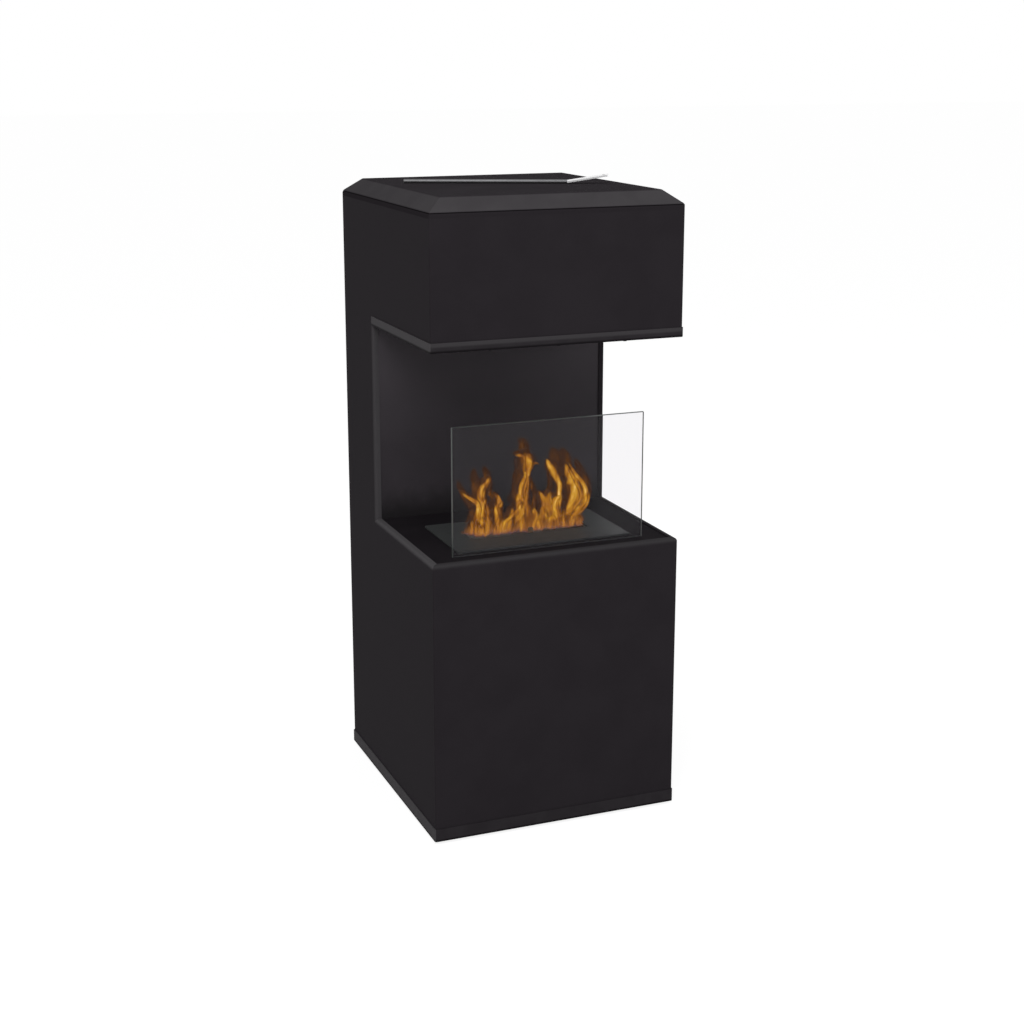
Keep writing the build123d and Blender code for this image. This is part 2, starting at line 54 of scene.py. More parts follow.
# --- Tower shell ---------------------------------------------------------------------------------------
# Two C-shaped side pressings, the front of the base, the front of the hood and the rear panel: 1.5 mm
# sheet steel, folded, welded at the mitres and powder coated satin black. The rolled edges round the fire
# opening carry a painted highlight, strongest on the left side and fainter on the front of the base.

COAT_DEEP = (0.0158, 0.0136, 0.0158, 1)
COAT_PALE = (0.0182, 0.0158, 0.0182, 1)
# Painted highlight on the rolled edges round the fire opening: on the left side, and fainter on the base's
# front.
SIDE_EDGE_HIGHLIGHT = (0.060, 0.057, 0.060, 1)
FRONT_EDGE_HIGHLIGHT = (0.031, 0.029, 0.031, 1)
COAT_SMOOTHEST = 0.64
COAT_ROUGHEST = 0.68
COAT_BUMP = 0.010 * MM
PATCH_SIZE = 60 * MM
PEEL_SIZE = 2.2 * MM
GRAIN_SIZE = 0.5 * MM
GRAIN_TONE = 0.3
GRAIN_HEIGHT = 0.25
# Width and patchiness of the painted edge highlight.
EDGE_HIGHLIGHT_WIDTH = 8.5 * MM
EDGE_HIGHLIGHT_PATCH = 18 * MM
UPRIGHT_SHARE = 0.6
SHEET = 1.5 * MM
OPENING_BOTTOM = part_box("base_front_panel")[1].z
OPENING_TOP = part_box("hood_tray")[0].z
OPENING_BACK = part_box("fire_back_wall")[0].y - SHEET


def give(tree, socket, value):
    """Sets a socket to a value, or links it to the output that feeds it."""
    if isinstance(value, bpy.types.NodeSocket):
        tree.links.new(value, socket)
    else:
        socket.default_value = value


def node(tree, kind, inputs=None, **settings):
    """Adds one shader node. Each of its inputs is given a value or the output that feeds it."""
    made = tree.nodes.new("ShaderNode" + kind)
    for name, value in settings.items():
        setattr(made, name, value)
    for name, value in (inputs or {}).items():
        give(tree, made.inputs[name], value)
    return made


def math_node(tree, operation, *values, clamp=False):
    """One Math node's output."""
    return node(tree, "Math", dict(enumerate(values)), operation=operation, use_clamp=clamp).outputs[0]


def new_group(name, inputs, outputs):
    """An empty shader node group, the sockets that come into it and the sockets that leave it."""
    tree = bpy.data.node_groups.new(name, "ShaderNodeTree")
    for label, kind, value in inputs:
        socket = tree.interface.new_socket(label, in_out="INPUT", socket_type="NodeSocket" + kind)
        if value is not None:
            socket.default_value = value
    for label, kind in outputs:
        tree.interface.new_socket(label, in_out="OUTPUT", socket_type="NodeSocket" + kind)
    return tree, tree.nodes.new("NodeGroupInput").outputs, tree.nodes.new("NodeGroupOutput").inputs


def socket_label(name):
    """The label of a socket: base_color is Base Color, and ior is IOR."""
    return name.replace("_", " ").title().replace("Ior", "IOR")


def use_group(tree, group, **inputs):
    """Places a node group, with its inputs given by name, and returns its outputs."""
    placed = tree.nodes.new("ShaderNodeGroup")
    placed.node_tree = group
    for name, value in inputs.items():
        give(tree, placed.inputs[socket_label(name)], value)
    return placed.outputs


def noise_of(tree, vector, size, detail=2.0, roughness=0.5):
    """Noise whose features are about one size across; the size is a number or an output."""
    scale = math_node(tree, "DIVIDE", 1.0, size)
    inputs = {"Vector": vector, "Scale": scale, "Detail": detail, "Roughness": roughness}
    return node(tree, "TexNoise", inputs).outputs["Fac"]


def stretch(tree, value, low, high, new_low=0.0, new_high=1.0):
    """A value between low and high, stretched smoothly over new_low to new_high."""
    inputs = {"Value": value, "From Min": low, "From Max": high, "To Min": new_low, "To Max": new_high}
    return node(tree, "MapRange", inputs, interpolation_type="SMOOTHSTEP").outputs["Result"]


def spread(tree, value, new_low=0.0, new_high=1.0):
    """A noise's value, which mostly lies from 0.3 to 0.7, stretched over new_low to new_high."""
    return stretch(tree, value, 0.3, 0.7, new_low, new_high)


def new_material(name, **values):
    """A material, its node tree and its Principled BSDF, with the shader's own sockets set."""
    material = bpy.data.materials.new(name)
    material.use_nodes = True
    shader = material.node_tree.nodes["Principled BSDF"]
    for name, value in values.items():
        shader.inputs[socket_label(name)].default_value = value
    return material, material.node_tree, shader


def feed(tree, shader, **outputs):
    """Links outputs to the shader's sockets by name."""
    for name, output in outputs.items():
        tree.links.new(output, shader.inputs[socket_label(name)])


def object_place(tree):
    """Where a point of the surface is on its own piece, in metres."""
    return node(tree, "TexCoord").outputs["Object"]


def bumped(tree, height, distance, strength=1.0):
    """The normal of a surface with that height on it."""
    inputs = {"Height": height, "Distance": distance, "Strength": strength, "Filter Width": 1.0}
    return node(tree, "Bump", inputs).outputs["Normal"]


def coat_on(material, *names):
    """Gives CAD nodes a material."""
    for name in names:
        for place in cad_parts[name].material_slots:
            place.material = material


def mixed(tree, factor, first, second):
    """One colour mixed into another; each is a value or an output."""
    blend = node(tree, "Mix", {"Factor": factor}, data_type="RGBA")
    colours = {socket.name: socket for socket in blend.inputs if socket.type == "RGBA"}
    give(tree, colours["A"], first)
    give(tree, colours["B"], second)
    return next(socket for socket in blend.outputs if socket.type == "RGBA")


def make_powder_coat():
    """Mottled colour, roughness and orange-peel height of a sprayed and baked coat."""
    tree, given, out = new_group(
        "powder_coat",
        [
            ("Vector", "Vector", None),
            ("Deep", "Color", COAT_DEEP),
            ("Pale", "Color", COAT_PALE),
            ("Patch Size", "Float", PATCH_SIZE),
            ("Peel Size", "Float", PEEL_SIZE),
            ("Grain Size", "Float", GRAIN_SIZE),
            ("Smoothest", "Float", COAT_SMOOTHEST),
            ("Roughest", "Float", COAT_ROUGHEST),
        ],
        [("Color", "Color"), ("Roughness", "Float"), ("Height", "Float")],
    )
    patch = noise_of(tree, given["Vector"], given["Patch Size"], detail=3.0)
    peel = noise_of(tree, given["Vector"], given["Peel Size"], detail=1.0)
    grain = noise_of(tree, given["Vector"], given["Grain Size"], detail=0.0)
    patch_tone = spread(tree, patch, 0.0, 1.0 - GRAIN_TONE)
    grain_tone = spread(tree, grain, 0.0, GRAIN_TONE)
    mottle = math_node(tree, "ADD", patch_tone, grain_tone)
    tree.links.new(mixed(tree, mottle, given["Deep"], given["Pale"]), out["Color"])
    roughness = spread(tree, patch, given["Smoothest"], given["Roughest"])
    tree.links.new(roughness, out["Roughness"])
    height = math_node(tree, "MULTIPLY_ADD", grain, GRAIN_HEIGHT, peel)
    tree.links.new(height, out["Height"])
    return tree


def make_rolled_edge_highlight():
    """How much painted highlight a point gets: 1 on the rolled edges round the fire opening, 0 away from
    them.
    """
    tree, given, out = new_group(
        "rolled_edge_highlight",
        [
            ("Vector", "Vector", None),
            ("Bottom", "Float", 0.0),
            ("Top", "Float", 1.0),
            ("Back", "Float", 0.0),
            ("Width", "Float", EDGE_HIGHLIGHT_WIDTH),
            ("Upright Share", "Float", UPRIGHT_SHARE),
        ],
        [("Highlight", "Float")],
    )
    place = node(tree, "SeparateXYZ", {"Vector": given["Vector"]}).outputs
    below = math_node(tree, "SUBTRACT", given["Bottom"], place["Z"])
    above = math_node(tree, "SUBTRACT", place["Z"], given["Top"])
    behind = math_node(tree, "SUBTRACT", place["Y"], given["Back"])
    level = math_node(tree, "MAXIMUM", below, above)
    outside = math_node(tree, "MAXIMUM", level, behind)
    patchy = noise_of(tree, given["Vector"], EDGE_HIGHLIGHT_PATCH, detail=3.0)
    width = math_node(tree, "MULTIPLY", given["Width"], spread(tree, patchy, 0.95, 1.05))
    near = math_node(tree, "DIVIDE", math_node(tree, "ABSOLUTE", outside), width)
    on_level = math_node(tree, "GREATER_THAN", level, behind)
    share = math_node(tree, "MAXIMUM", on_level, given["Upright Share"])
    tree.links.new(math_node(tree, "MULTIPLY", stretch(tree, near, 1.0, 0.15), share), out["Highlight"])
    return tree


def spray(tree, shader, coat, bump, colour=None):
    """Puts a powder coat on a shader, with a colour of its own where one is given."""
    shown = coat["Color"] if colour is None else colour
    feed(tree, shader, base_color=shown, roughness=coat["Roughness"])
    feed(tree, shader, normal=bumped(tree, coat["Height"], bump))


POWDER_COAT = make_powder_coat()
ROLLED_EDGE_HIGHLIGHT = make_rolled_edge_highlight()

for name, highlight_colour, nodes in (
    ("black_powder_coat", SIDE_EDGE_HIGHLIGHT, ("left_side_panel",)),
    ("black_powder_coat_front", FRONT_EDGE_HIGHLIGHT, ("base_front_panel",)),
    ("black_powder_coat_plain", None, ("right_side_panel", "hood_front_panel", "rear_panel")),
):
    shell_coat, tree, shader = new_material(name, specular_ior_level=0.01)
    place = object_place(tree)
    coat = use_group(tree, POWDER_COAT, vector=place)
    colour = coat["Color"]
    if highlight_colour:
        # Paints the highlight onto the rolled edges round the opening.
        edges = {"bottom": OPENING_BOTTOM, "top": OPENING_TOP, "back": OPENING_BACK}
        edge_highlight = use_group(tree, ROLLED_EDGE_HIGHLIGHT, vector=place, **edges)["Highlight"]
        colour = mixed(tree, edge_highlight, colour, highlight_colour)
    spray(tree, shader, coat, COAT_BUMP, colour)
    coat_on(shell_coat, *nodes)


# --- Cap -----------------------------------------------------------------------------------------------
# The tower's bevelled lid, pressed from one sheet and welded on. Its bevels are painted paler than its flat
# as a painted highlight, and its flat a little paler than its upright skirt as painted light from above. The
# fold under the bevels is a thin line of painted shade.

# Flat: painted light from above. Bevels: painted highlight. Fold line: painted shade.
CAP_DEEP = (0.0215, 0.0190, 0.0215, 1)
CAP_PALE = (0.0270, 0.0240, 0.0270, 1)
BEVEL_HIGHLIGHT_DEEP = (0.0400, 0.0370, 0.0400, 1)
BEVEL_HIGHLIGHT_PALE = (0.0480, 0.0450, 0.0480, 1)
BEVEL_FOLD = 2 * MM
FOLD_SHADE_LINE = (0.0045, 0.0038, 0.0045, 1)
FOLD_SHADE_HEIGHT = 1.6 * MM
SKIRT_TONE = (0.0165, 0.0143, 0.0165, 1)
SKIRT_HEIGHT = 8 * MM
SKIRT_BLUR = 0.3 * MM
BEVEL_STARTS_UNDER = 0.1 * MM
BEVEL_ENDS_UNDER = 0.2 * MM
FLAT_SMOOTHEST = 0.92
FLAT_ROUGHEST = 0.98
cap_low, cap_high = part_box("top_cap")
skirt_top = cap_low.z + SKIRT_HEIGHT

cap_coat, tree, shader = new_material("cap_powder_coat", specular_ior_level=0.004)
place = object_place(tree)
flat = use_group(
    tree, POWDER_COAT, vector=place, deep=CAP_DEEP, pale=CAP_PALE,
    smoothest=FLAT_SMOOTHEST, roughest=FLAT_ROUGHEST,
)
bevel = use_group(tree, POWDER_COAT, vector=place, deep=BEVEL_HIGHLIGHT_DEEP, pale=BEVEL_HIGHLIGHT_PALE)
level = node(tree, "SeparateXYZ", {"Vector": place}).outputs["Z"]
over_skirt = stretch(tree, level, skirt_top - BEVEL_STARTS_UNDER, skirt_top + BEVEL_FOLD)
under_flat = stretch(tree, level, cap_high.z - BEVEL_ENDS_UNDER, cap_high.z - BEVEL_FOLD)
on_skirt = stretch(tree, level, skirt_top + SKIRT_BLUR, skirt_top)
in_fold_shade = stretch(tree, level, skirt_top - FOLD_SHADE_HEIGHT, skirt_top - FOLD_SHADE_HEIGHT / 2)
# Paints the bevels' highlight, the skirt's darker tone and the shade in the fold.
colour = mixed(tree, math_node(tree, "MULTIPLY", over_skirt, under_flat), flat["Color"], bevel["Color"])
colour = mixed(tree, on_skirt, colour, SKIRT_TONE)
colour = mixed(tree, math_node(tree, "MULTIPLY", on_skirt, in_fold_shade), colour, FOLD_SHADE_LINE)
spray(tree, shader, flat, COAT_BUMP, colour)
coat_on(cap_coat, "top_cap")


# --- Bands ---------------------------------------------------------------------------------------------
# The shallow trays that close the hood and the base from below. Their rims stand 1.5 mm proud of the
# shell as a band. The upper part of the hood's band carries a painted highlight, the left faces of both
# bands a paler one, and the fold at the bottom of each band is a line of painted shade.

BAND_DEEP = (0.0170, 0.0150, 0.0170, 1)
BAND_PALE = (0.0225, 0.0202, 0.0225, 1)
# Painted highlight on the hood's band and on the bands' left faces, and painted shade in their bottom folds.
BAND_RIM_HIGHLIGHT = (0.0350, 0.0325, 0.0350, 1)
BAND_FOLD_SHADE = (0.0055, 0.0047, 0.0055, 1)
BAND_FOLD_HEIGHT = 5 * MM
RIM_HIGHLIGHT_FROM = 7 * MM
RIM_HIGHLIGHT_FULL = 11 * MM
BAND_HEIGHT = 15 * MM
BAND_LEFT_HIGHLIGHT = (0.0520, 0.0490, 0.0520, 1)
BAND_PATCH = 25 * MM
hood_tray_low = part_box("hood_tray")[0]
base_tray_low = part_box("base_tray")[0]

band_coat, tree, shader = new_material("band_powder_coat", specular_ior_level=0.015)
place = object_place(tree)
coat = use_group(tree, POWDER_COAT, vector=place, deep=BAND_DEEP, pale=BAND_PALE, patch_size=BAND_PATCH)
along = node(tree, "SeparateXYZ", {"Vector": place}).outputs
on_left = stretch(tree, along["X"], hood_tray_low.x + 1.5 * SHEET, hood_tray_low.x + SHEET / 2)
over_hood_fold = math_node(tree, "ABSOLUTE", math_node(tree, "SUBTRACT", along["Z"], hood_tray_low.z))
over_base_fold = math_node(tree, "ABSOLUTE", math_node(tree, "SUBTRACT", along["Z"], base_tray_low.z))
over_fold = math_node(tree, "MINIMUM", over_hood_fold, over_base_fold)
in_fold_shade = stretch(tree, over_fold, BAND_FOLD_HEIGHT, BAND_FOLD_HEIGHT / 3, 0.0, 0.9)
over_rim = stretch(tree, over_hood_fold, RIM_HIGHLIGHT_FROM, RIM_HIGHLIGHT_FULL)
on_hood = stretch(tree, over_hood_fold, 2.5 * BAND_HEIGHT, 1.5 * BAND_HEIGHT)
rim_highlight = math_node(tree, "MULTIPLY", over_rim, on_hood)
# Paints the highlights, then the shade in the folds.
colour = mixed(tree, on_left, mixed(tree, rim_highlight, coat["Color"], BAND_RIM_HIGHLIGHT), BAND_LEFT_HIGHLIGHT)
colour = mixed(tree, in_fold_shade, colour, BAND_FOLD_SHADE)
spray(tree, shader, coat, COAT_BUMP, colour)
coat_on(band_coat, "hood_tray", "base_tray")


# --- Back wall and shelf -------------------------------------------------------------------------------
# The wall behind the fire and the shelf round the burner, spot-welded behind the turned-in edges of the
# shell. The shelf's coat is glossier and painted deeper, as painted shade under the hood. The wall is painted
# paler higher up as a painted reflection, and darker low down as painted shade over the shelf.

WALL_DEEP = (0.0200, 0.0170, 0.0200, 1)
WALL_PALE = (0.0250, 0.0215, 0.0250, 1)
# The shelf's tones are painted shade under the hood.
SHELF_SHADE_DEEP = (0.0092, 0.0078, 0.0092, 1)
SHELF_SHADE_PALE = (0.0122, 0.0105, 0.0122, 1)
# Painted shade low down over the shelf, and a painted reflection that makes the wall paler higher up.
WALL_LOW_SHADE = (0.0040, 0.0036, 0.0040, 1)
LOW_SHADE_HEIGHT = 60 * MM
WALL_REFLECTION = (0.0400, 0.0350, 0.0400, 1)
REFLECTION_FROM = 90 * MM
REFLECTION_TO = 330 * MM
DRIFT_SIZE = 45 * MM
SHELF_SMOOTHEST = 0.62
SHELF_ROUGHEST = 0.70
SMOOTH_COAT_BUMP = 0.002 * MM

wall_coat, tree, shader = new_material("wall_powder_coat", specular_ior_level=0.12)
place = object_place(tree)
coat = use_group(tree, POWDER_COAT, vector=place, deep=WALL_DEEP, pale=WALL_PALE)
level = node(tree, "SeparateXYZ", {"Vector": place}).outputs["Z"]
rise = math_node(tree, "SUBTRACT", level, OPENING_BOTTOM)
drift = spread(tree, noise_of(tree, place, DRIFT_SIZE, detail=4.0), 0.6, 1.2)
# Paints the shade low down and the reflection higher up.
low_shade = stretch(tree, math_node(tree, "DIVIDE", rise, drift), LOW_SHADE_HEIGHT, 0.0, 0.0, 0.8)
reflected = stretch(tree, rise, REFLECTION_FROM, REFLECTION_TO)
colour = mixed(tree, low_shade, mixed(tree, reflected, coat["Color"], WALL_REFLECTION), WALL_LOW_SHADE)
spray(tree, shader, coat, SMOOTH_COAT_BUMP, colour)
coat_on(wall_coat, "fire_back_wall")

shelf_coat, tree, shader = new_material("shelf_powder_coat", specular_ior_level=0.008)
coat = use_group(
    tree, POWDER_COAT, vector=object_place(tree), deep=SHELF_SHADE_DEEP, pale=SHELF_SHADE_PALE,
    smoothest=SHELF_SMOOTHEST, roughest=SHELF_ROUGHEST,
)
spray(tree, shader, coat, SMOOTH_COAT_BUMP)
coat_on(shelf_coat, "shelf_plate")


# --- Zinc-plated inner steel ---------------------------------------------------------------------------
# Stiffeners, shelf rails, glass channel, bosses, wall bar and foot studs: plain steel with a bright zinc
# plate, which sets in soft spangles and is a little dulled by handling.

CORNERS = ("front_left", "front_right", "back_left", "back_right")
ZINC_NODES = (
    "back_wall_stiffener_lower", "back_wall_stiffener_upper", "shelf_rail_front", "shelf_rail_back",
    "glass_channel", "foot_bosses", "wall_fixing_bar", *(f"foot_stud_{corner}" for corner in CORNERS),
)
ZINC_BRIGHT = (0.56, 0.57, 0.60, 1)
ZINC_DULL = (0.38, 0.39, 0.41, 1)
SPANGLE_SIZE = 9 * MM
SPANGLE_SHARE = 0.6
DULLED_SIZE = 30 * MM

zinc, tree, shader = new_material("zinc_steel", metallic=1.0)
place = object_place(tree)
spangle = node(tree, "TexVoronoi", {"Vector": place, "Scale": 1 / SPANGLE_SIZE}).outputs["Color"]
dulled = noise_of(tree, place, DULLED_SIZE)
tone = math_node(tree, "MULTIPLY_ADD", spangle, SPANGLE_SHARE, dulled, clamp=True)
feed(tree, shader, base_color=mixed(tree, tone, ZINC_DULL, ZINC_BRIGHT))
feed(tree, shader, roughness=stretch(tree, tone, 0.3, 1.0, 0.5, 0.32))
feed(tree, shader, normal=bumped(tree, noise_of(tree, place, 0.8 * MM), 0.02 * MM))
coat_on(zinc, *ZINC_NODES)


# --- Screws --------------------------------------------------------------------------------------------
# Ten zinc-plated pan-head screws hold the rear panel, and nine with a black coat hold each tray. They have
# a hexagon socket, and each stands where the frame has its plain screw.

PANEL_SCREW = {"head_radius": 4.0 * MM, "head_height": 1.4 * MM, "shank_radius": 2.0 * MM}
TRAY_SCREW = {"head_radius": 3.25 * MM, "head_height": 1.6 * MM, "shank_radius": 1.5 * MM}
SCREW_SIDES = 24
# Shares of the head's radius: its seat, its flat top and its socket, and how far its crown draws in.
SEAT_SHARE = 0.97
FLAT_TOP_SHARE = 0.6
SOCKET_SHARE = 0.42
CROWN_DRAWN_IN = 0.34
# Shares of the head's height: its upright rim and its socket's depth.
RIM_SHARE = 0.12
SOCKET_DEPTH_SHARE = 0.62
SOCKET_CHAMFER = 0.06
# Shares of the shank's radius: its blunt tip, and how long that is.
TIP_SHARE = 0.8
TIP_LENGTH_SHARE = 0.3


def separate_solids(name):
    """The lowest and highest corner of each separate solid of a CAD node."""
    mesh = bmesh.new()
    mesh.from_mesh(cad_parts[name].data)
    bmesh.ops.remove_doubles(mesh, verts=mesh.verts, dist=0.001 * MM)
    left = set(mesh.verts)
    boxes = []
    while left:
        group = [left.pop()]
        for vertex in group:
            for edge in vertex.link_edges:
                other = edge.other_vert(vertex)
                if other in left:
                    left.remove(other)
                    group.append(other)
        corners = [vertex.co for vertex in group]
        low = Vector([min(c[i] for c in corners) for i in range(3)])
        high = Vector([max(c[i] for c in corners) for i in range(3)])
        boxes.append((low, high))
    mesh.free()
    return sorted(boxes, key=lambda pair: tuple(round(v, 5) for v in pair[0]))


def add_ring(mesh, radius, height, corners=0):
    """A ring of vertices round +Z; with corners it is a polygon of that many sides instead of round."""
    ring = []
    for i in range(SCREW_SIDES):
        angle = math.tau * i / SCREW_SIDES
        reach = radius
        if corners:
            part = math.tau / corners
            reach = radius * math.cos(part / 2) / math.cos(angle % part - part / 2)
        ring.append(mesh.verts.new((reach * math.cos(angle), reach * math.sin(angle), height)))
    return ring


def join_rings(mesh, rings):
    """Skins a row of rings, and closes the first and the last."""
    for low, high in zip(rings, rings[1:]):
        for i in range(len(low)):
            j = (i + 1) % len(low)
            mesh.faces.new((low[i], low[j], high[j], high[i]))
    mesh.faces.new(list(reversed(rings[0])))
    mesh.faces.new(rings[-1])


def pan_head_screw(mesh, head_radius, head_height, shank_radius, shank_length):
    """One screw along +Z with its head's seat at height 0."""
    rings = [
        add_ring(mesh, shank_radius * TIP_SHARE, -shank_length),
        add_ring(mesh, shank_radius, -shank_length + shank_radius * TIP_LENGTH_SHARE),
        add_ring(mesh, shank_radius, 0),
        add_ring(mesh, head_radius * SEAT_SHARE, 0),
        add_ring(mesh, head_radius, head_height * RIM_SHARE),
    ]
    for step in (0.2, 0.4, 0.6, 0.8):
        turn = step * math.pi / 2
        reach = head_radius * (1 - CROWN_DRAWN_IN * (1 - math.cos(turn)))
        rings.append(add_ring(mesh, reach, head_height * (RIM_SHARE + (1 - RIM_SHARE) * math.sin(turn))))
    socket = head_radius * SOCKET_SHARE
    rings.append(add_ring(mesh, head_radius * FLAT_TOP_SHARE, head_height))
    rings.append(add_ring(mesh, socket * (1 + SOCKET_CHAMFER), head_height, corners=6))
    rings.append(add_ring(mesh, socket, head_height * (1 - SOCKET_CHAMFER), corners=6))
    rings.append(add_ring(mesh, socket, head_height * (1 - SOCKET_DEPTH_SHARE), corners=6))
    join_rings(mesh, rings)


def finish_mesh(name, mesh, material, smooth_angle=35):
    """Turns a bmesh into a piece with one material, smooth but for its sharp edges."""
    bmesh.ops.recalc_face_normals(mesh, faces=mesh.faces)
    data = bpy.data.meshes.new(name)
    mesh.to_mesh(data)
    mesh.free()
    data.materials.append(material)
    piece = bpy.data.objects.new(name, data)
    bpy.context.scene.collection.objects.link(piece)
    data.shade_smooth()
    data.set_sharp_from_angle(angle=math.radians(smooth_angle))
    return piece


def make_screws(holds, axis, head_radius, head_height, shank_radius, material, slot):
    """The screws that hold a panel or tray, where the frame has them, with their heads towards axis."""
    stands_for = f"{holds}_screws"
    mesh = bmesh.new()
    turn = Vector((0, 0, 1)).rotation_difference(Vector(axis)).to_matrix().to_4x4()
    for low, high in separate_solids(stands_for):
        middle = (low + high) / 2
        along = [i for i in range(3) if axis[i]][0]
        top = high[along] if axis[along] > 0 else low[along]
        length = high[along] - low[along]
        start = len(mesh.verts)
        pan_head_screw(mesh, head_radius, head_height, shank_radius, length - head_height)
        middle[along] = top - axis[along] * head_height
        mesh.verts.ensure_lookup_table()
        fresh = mesh.verts[start:]
        bmesh.ops.transform(mesh, matrix=Matrix.Translation(middle) @ turn, verts=fresh)
    piece = finish_mesh(f"{holds}_pan_screws", mesh, material)
    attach(piece, "tower")
    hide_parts(stands_for)


make_screws("rear_panel", (0, 1, 0), **PANEL_SCREW, material=zinc, slot="zinc_steel")
for tray in ("hood_tray", "base_tray"):
    make_screws(tray, (0, 0, -1), **TRAY_SCREW, material=band_coat, slot="band_powder_coat")


# --- Burner --------------------------------------------------------------------------------------------
# The lift-out burner: a 3 mm top plate in dark satin enamel with its slot, and below it the tank, the
# damper and its guides in brushed stainless steel. The well that it hangs in is the same steel.

ENAMEL_DEEP = (0.0285, 0.0300, 0.0300, 1)
ENAMEL_PALE = (0.0360, 0.0380, 0.0378, 1)
STEEL_DEEP = (0.30, 0.29, 0.27, 1)
STEEL_PALE = (0.52, 0.51, 0.49, 1)
HEAT_TINT = (0.20, 0.13, 0.09, 1)
TAB_BROWN = (0.10, 0.062, 0.040, 1)
TAB_STRAW = (0.20, 0.135, 0.080, 1)
LINE_BUMP = 0.01 * MM
plate_low, plate_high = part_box("burner_top_plate")
SLOT_MIDDLE = (plate_low + plate_high) / 2
PLATE_TOP = plate_high.z

plate_enamel, tree, shader = new_material("burner_plate_steel", specular_ior_level=0.06)
coat = use_group(
    tree, POWDER_COAT, vector=object_place(tree), deep=ENAMEL_DEEP, pale=ENAMEL_PALE,
    patch_size=30 * MM, peel_size=1.2 * MM, smoothest=0.45, roughest=0.55,
)
spray(tree, shader, coat, SMOOTH_COAT_BUMP)
coat_on(plate_enamel, "burner_top_plate")


def make_brushed():
    """Fine scratches along X: a value that varies from 0 to 1 across them."""
    tree, given, out = new_group(
        "brushed_steel",
        [("Vector", "Vector", None), ("Line Length", "Float", 40 * MM), ("Line Width", "Float", 0.3 * MM)],
        [("Lines", "Float")],
    )
    place = node(tree, "SeparateXYZ", {"Vector": given["Vector"]}).outputs
    lengthwise = math_node(tree, "DIVIDE", place["X"], given["Line Length"])
    crosswise = math_node(tree, "DIVIDE", place["Y"], given["Line Width"])
    upright = math_node(tree, "DIVIDE", place["Z"], given["Line Width"])
    stretched = node(tree, "CombineXYZ", {"X": lengthwise, "Y": crosswise, "Z": upright}).outputs["Vector"]
    lines = node(tree, "TexNoise", {"Vector": stretched, "Scale": 1.0, "Detail": 3.0}).outputs["Fac"]
    tree.links.new(spread(tree, lines), out["Lines"])
    return tree


def halfway(tree, first, second):
    """The mean of two values."""
    return math_node(tree, "MULTIPLY", math_node(tree, "ADD", first, second), 0.5)


BRUSHED = make_brushed()

burner_steel, tree, shader = new_material("burner_steel", metallic=1.0)
place = object_place(tree)
lines = use_group(tree, BRUSHED, vector=place)["Lines"]
heat = stretch(tree, noise_of(tree, place, 50 * MM, detail=3.0), 0.45, 0.75, 0.0, 0.7)
brushed = mixed(tree, lines, STEEL_DEEP, STEEL_PALE)
feed(tree, shader, base_color=mixed(tree, heat, brushed, HEAT_TINT))
feed(tree, shader, roughness=stretch(tree, lines, 0.0, 1.0, 0.38, 0.52))
feed(tree, shader, normal=bumped(tree, lines, LINE_BUMP))
coat_on(burner_steel, "burner_tank", "burner_well", "damper_guide_left", "damper_guide_right")

# The damper and its tab stand in the flames, and have been coloured straw and brown by them.
tab_steel, tree, shader = new_material("heat_tinted_steel", metallic=1.0)
place = object_place(tree)
lines = use_group(tree, BRUSHED, vector=place)["Lines"]
tone = halfway(tree, lines, noise_of(tree, place, 5 * MM))
feed(tree, shader, base_color=mixed(tree, tone, TAB_BROWN, TAB_STRAW))
feed(tree, shader, roughness=stretch(tree, lines, 0.0, 1.0, 0.5, 0.62))
feed(tree, shader, normal=bumped(tree, lines, LINE_BUMP))
coat_on(tab_steel, "damper_tab", "damper_plate")


# --- Ceramic wool --------------------------------------------------------------------------------------
# A block of white ceramic wool that soaks up the fuel on the tank's floor: cut square, soft at its
# corners, lumpy on top and browned where the fire stands over it.

WOOL_CLEAN = (0.62, 0.59, 0.53, 1)
WOOL_SCORCHED = (0.030, 0.024, 0.021, 1)
WOOL_CUTS = 23
WOOL_LUMP = 1.6 * MM
WOOL_CORNER_PULL = 0.8
LUMP_SIZE = 9 * MM
SMALL_LUMP_SIZE = 3 * MM
SCORCHED_WITHIN = 24 * MM
CLEAN_BEYOND = 40 * MM
wool_low, wool_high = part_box("wick_block")
wool_middle = (wool_low + wool_high) / 2
wool_size = wool_high - wool_low

wool_fibre, tree, shader = new_material("ceramic_wool", roughness=0.95, specular_ior_level=0.1)
place = object_place(tree)
away = node(tree, "VectorMath", {0: place, 1: tuple(SLOT_MIDDLE)}, operation="SUBTRACT")
across_slot = node(tree, "SeparateXYZ", {"Vector": away.outputs["Vector"]}).outputs["Y"]
near_slot = stretch(tree, math_node(tree, "ABSOLUTE", across_slot), CLEAN_BEYOND, SCORCHED_WITHIN)
fibres = noise_of(tree, place, 1.0 * MM, detail=5.0, roughness=0.7)
scorch = math_node(tree, "MULTIPLY", near_slot, spread(tree, fibres, 0.85, 1.0))
feed(tree, shader, base_color=mixed(tree, scorch, WOOL_CLEAN, WOOL_SCORCHED))
feed(tree, shader, normal=bumped(tree, fibres, 0.6 * MM))

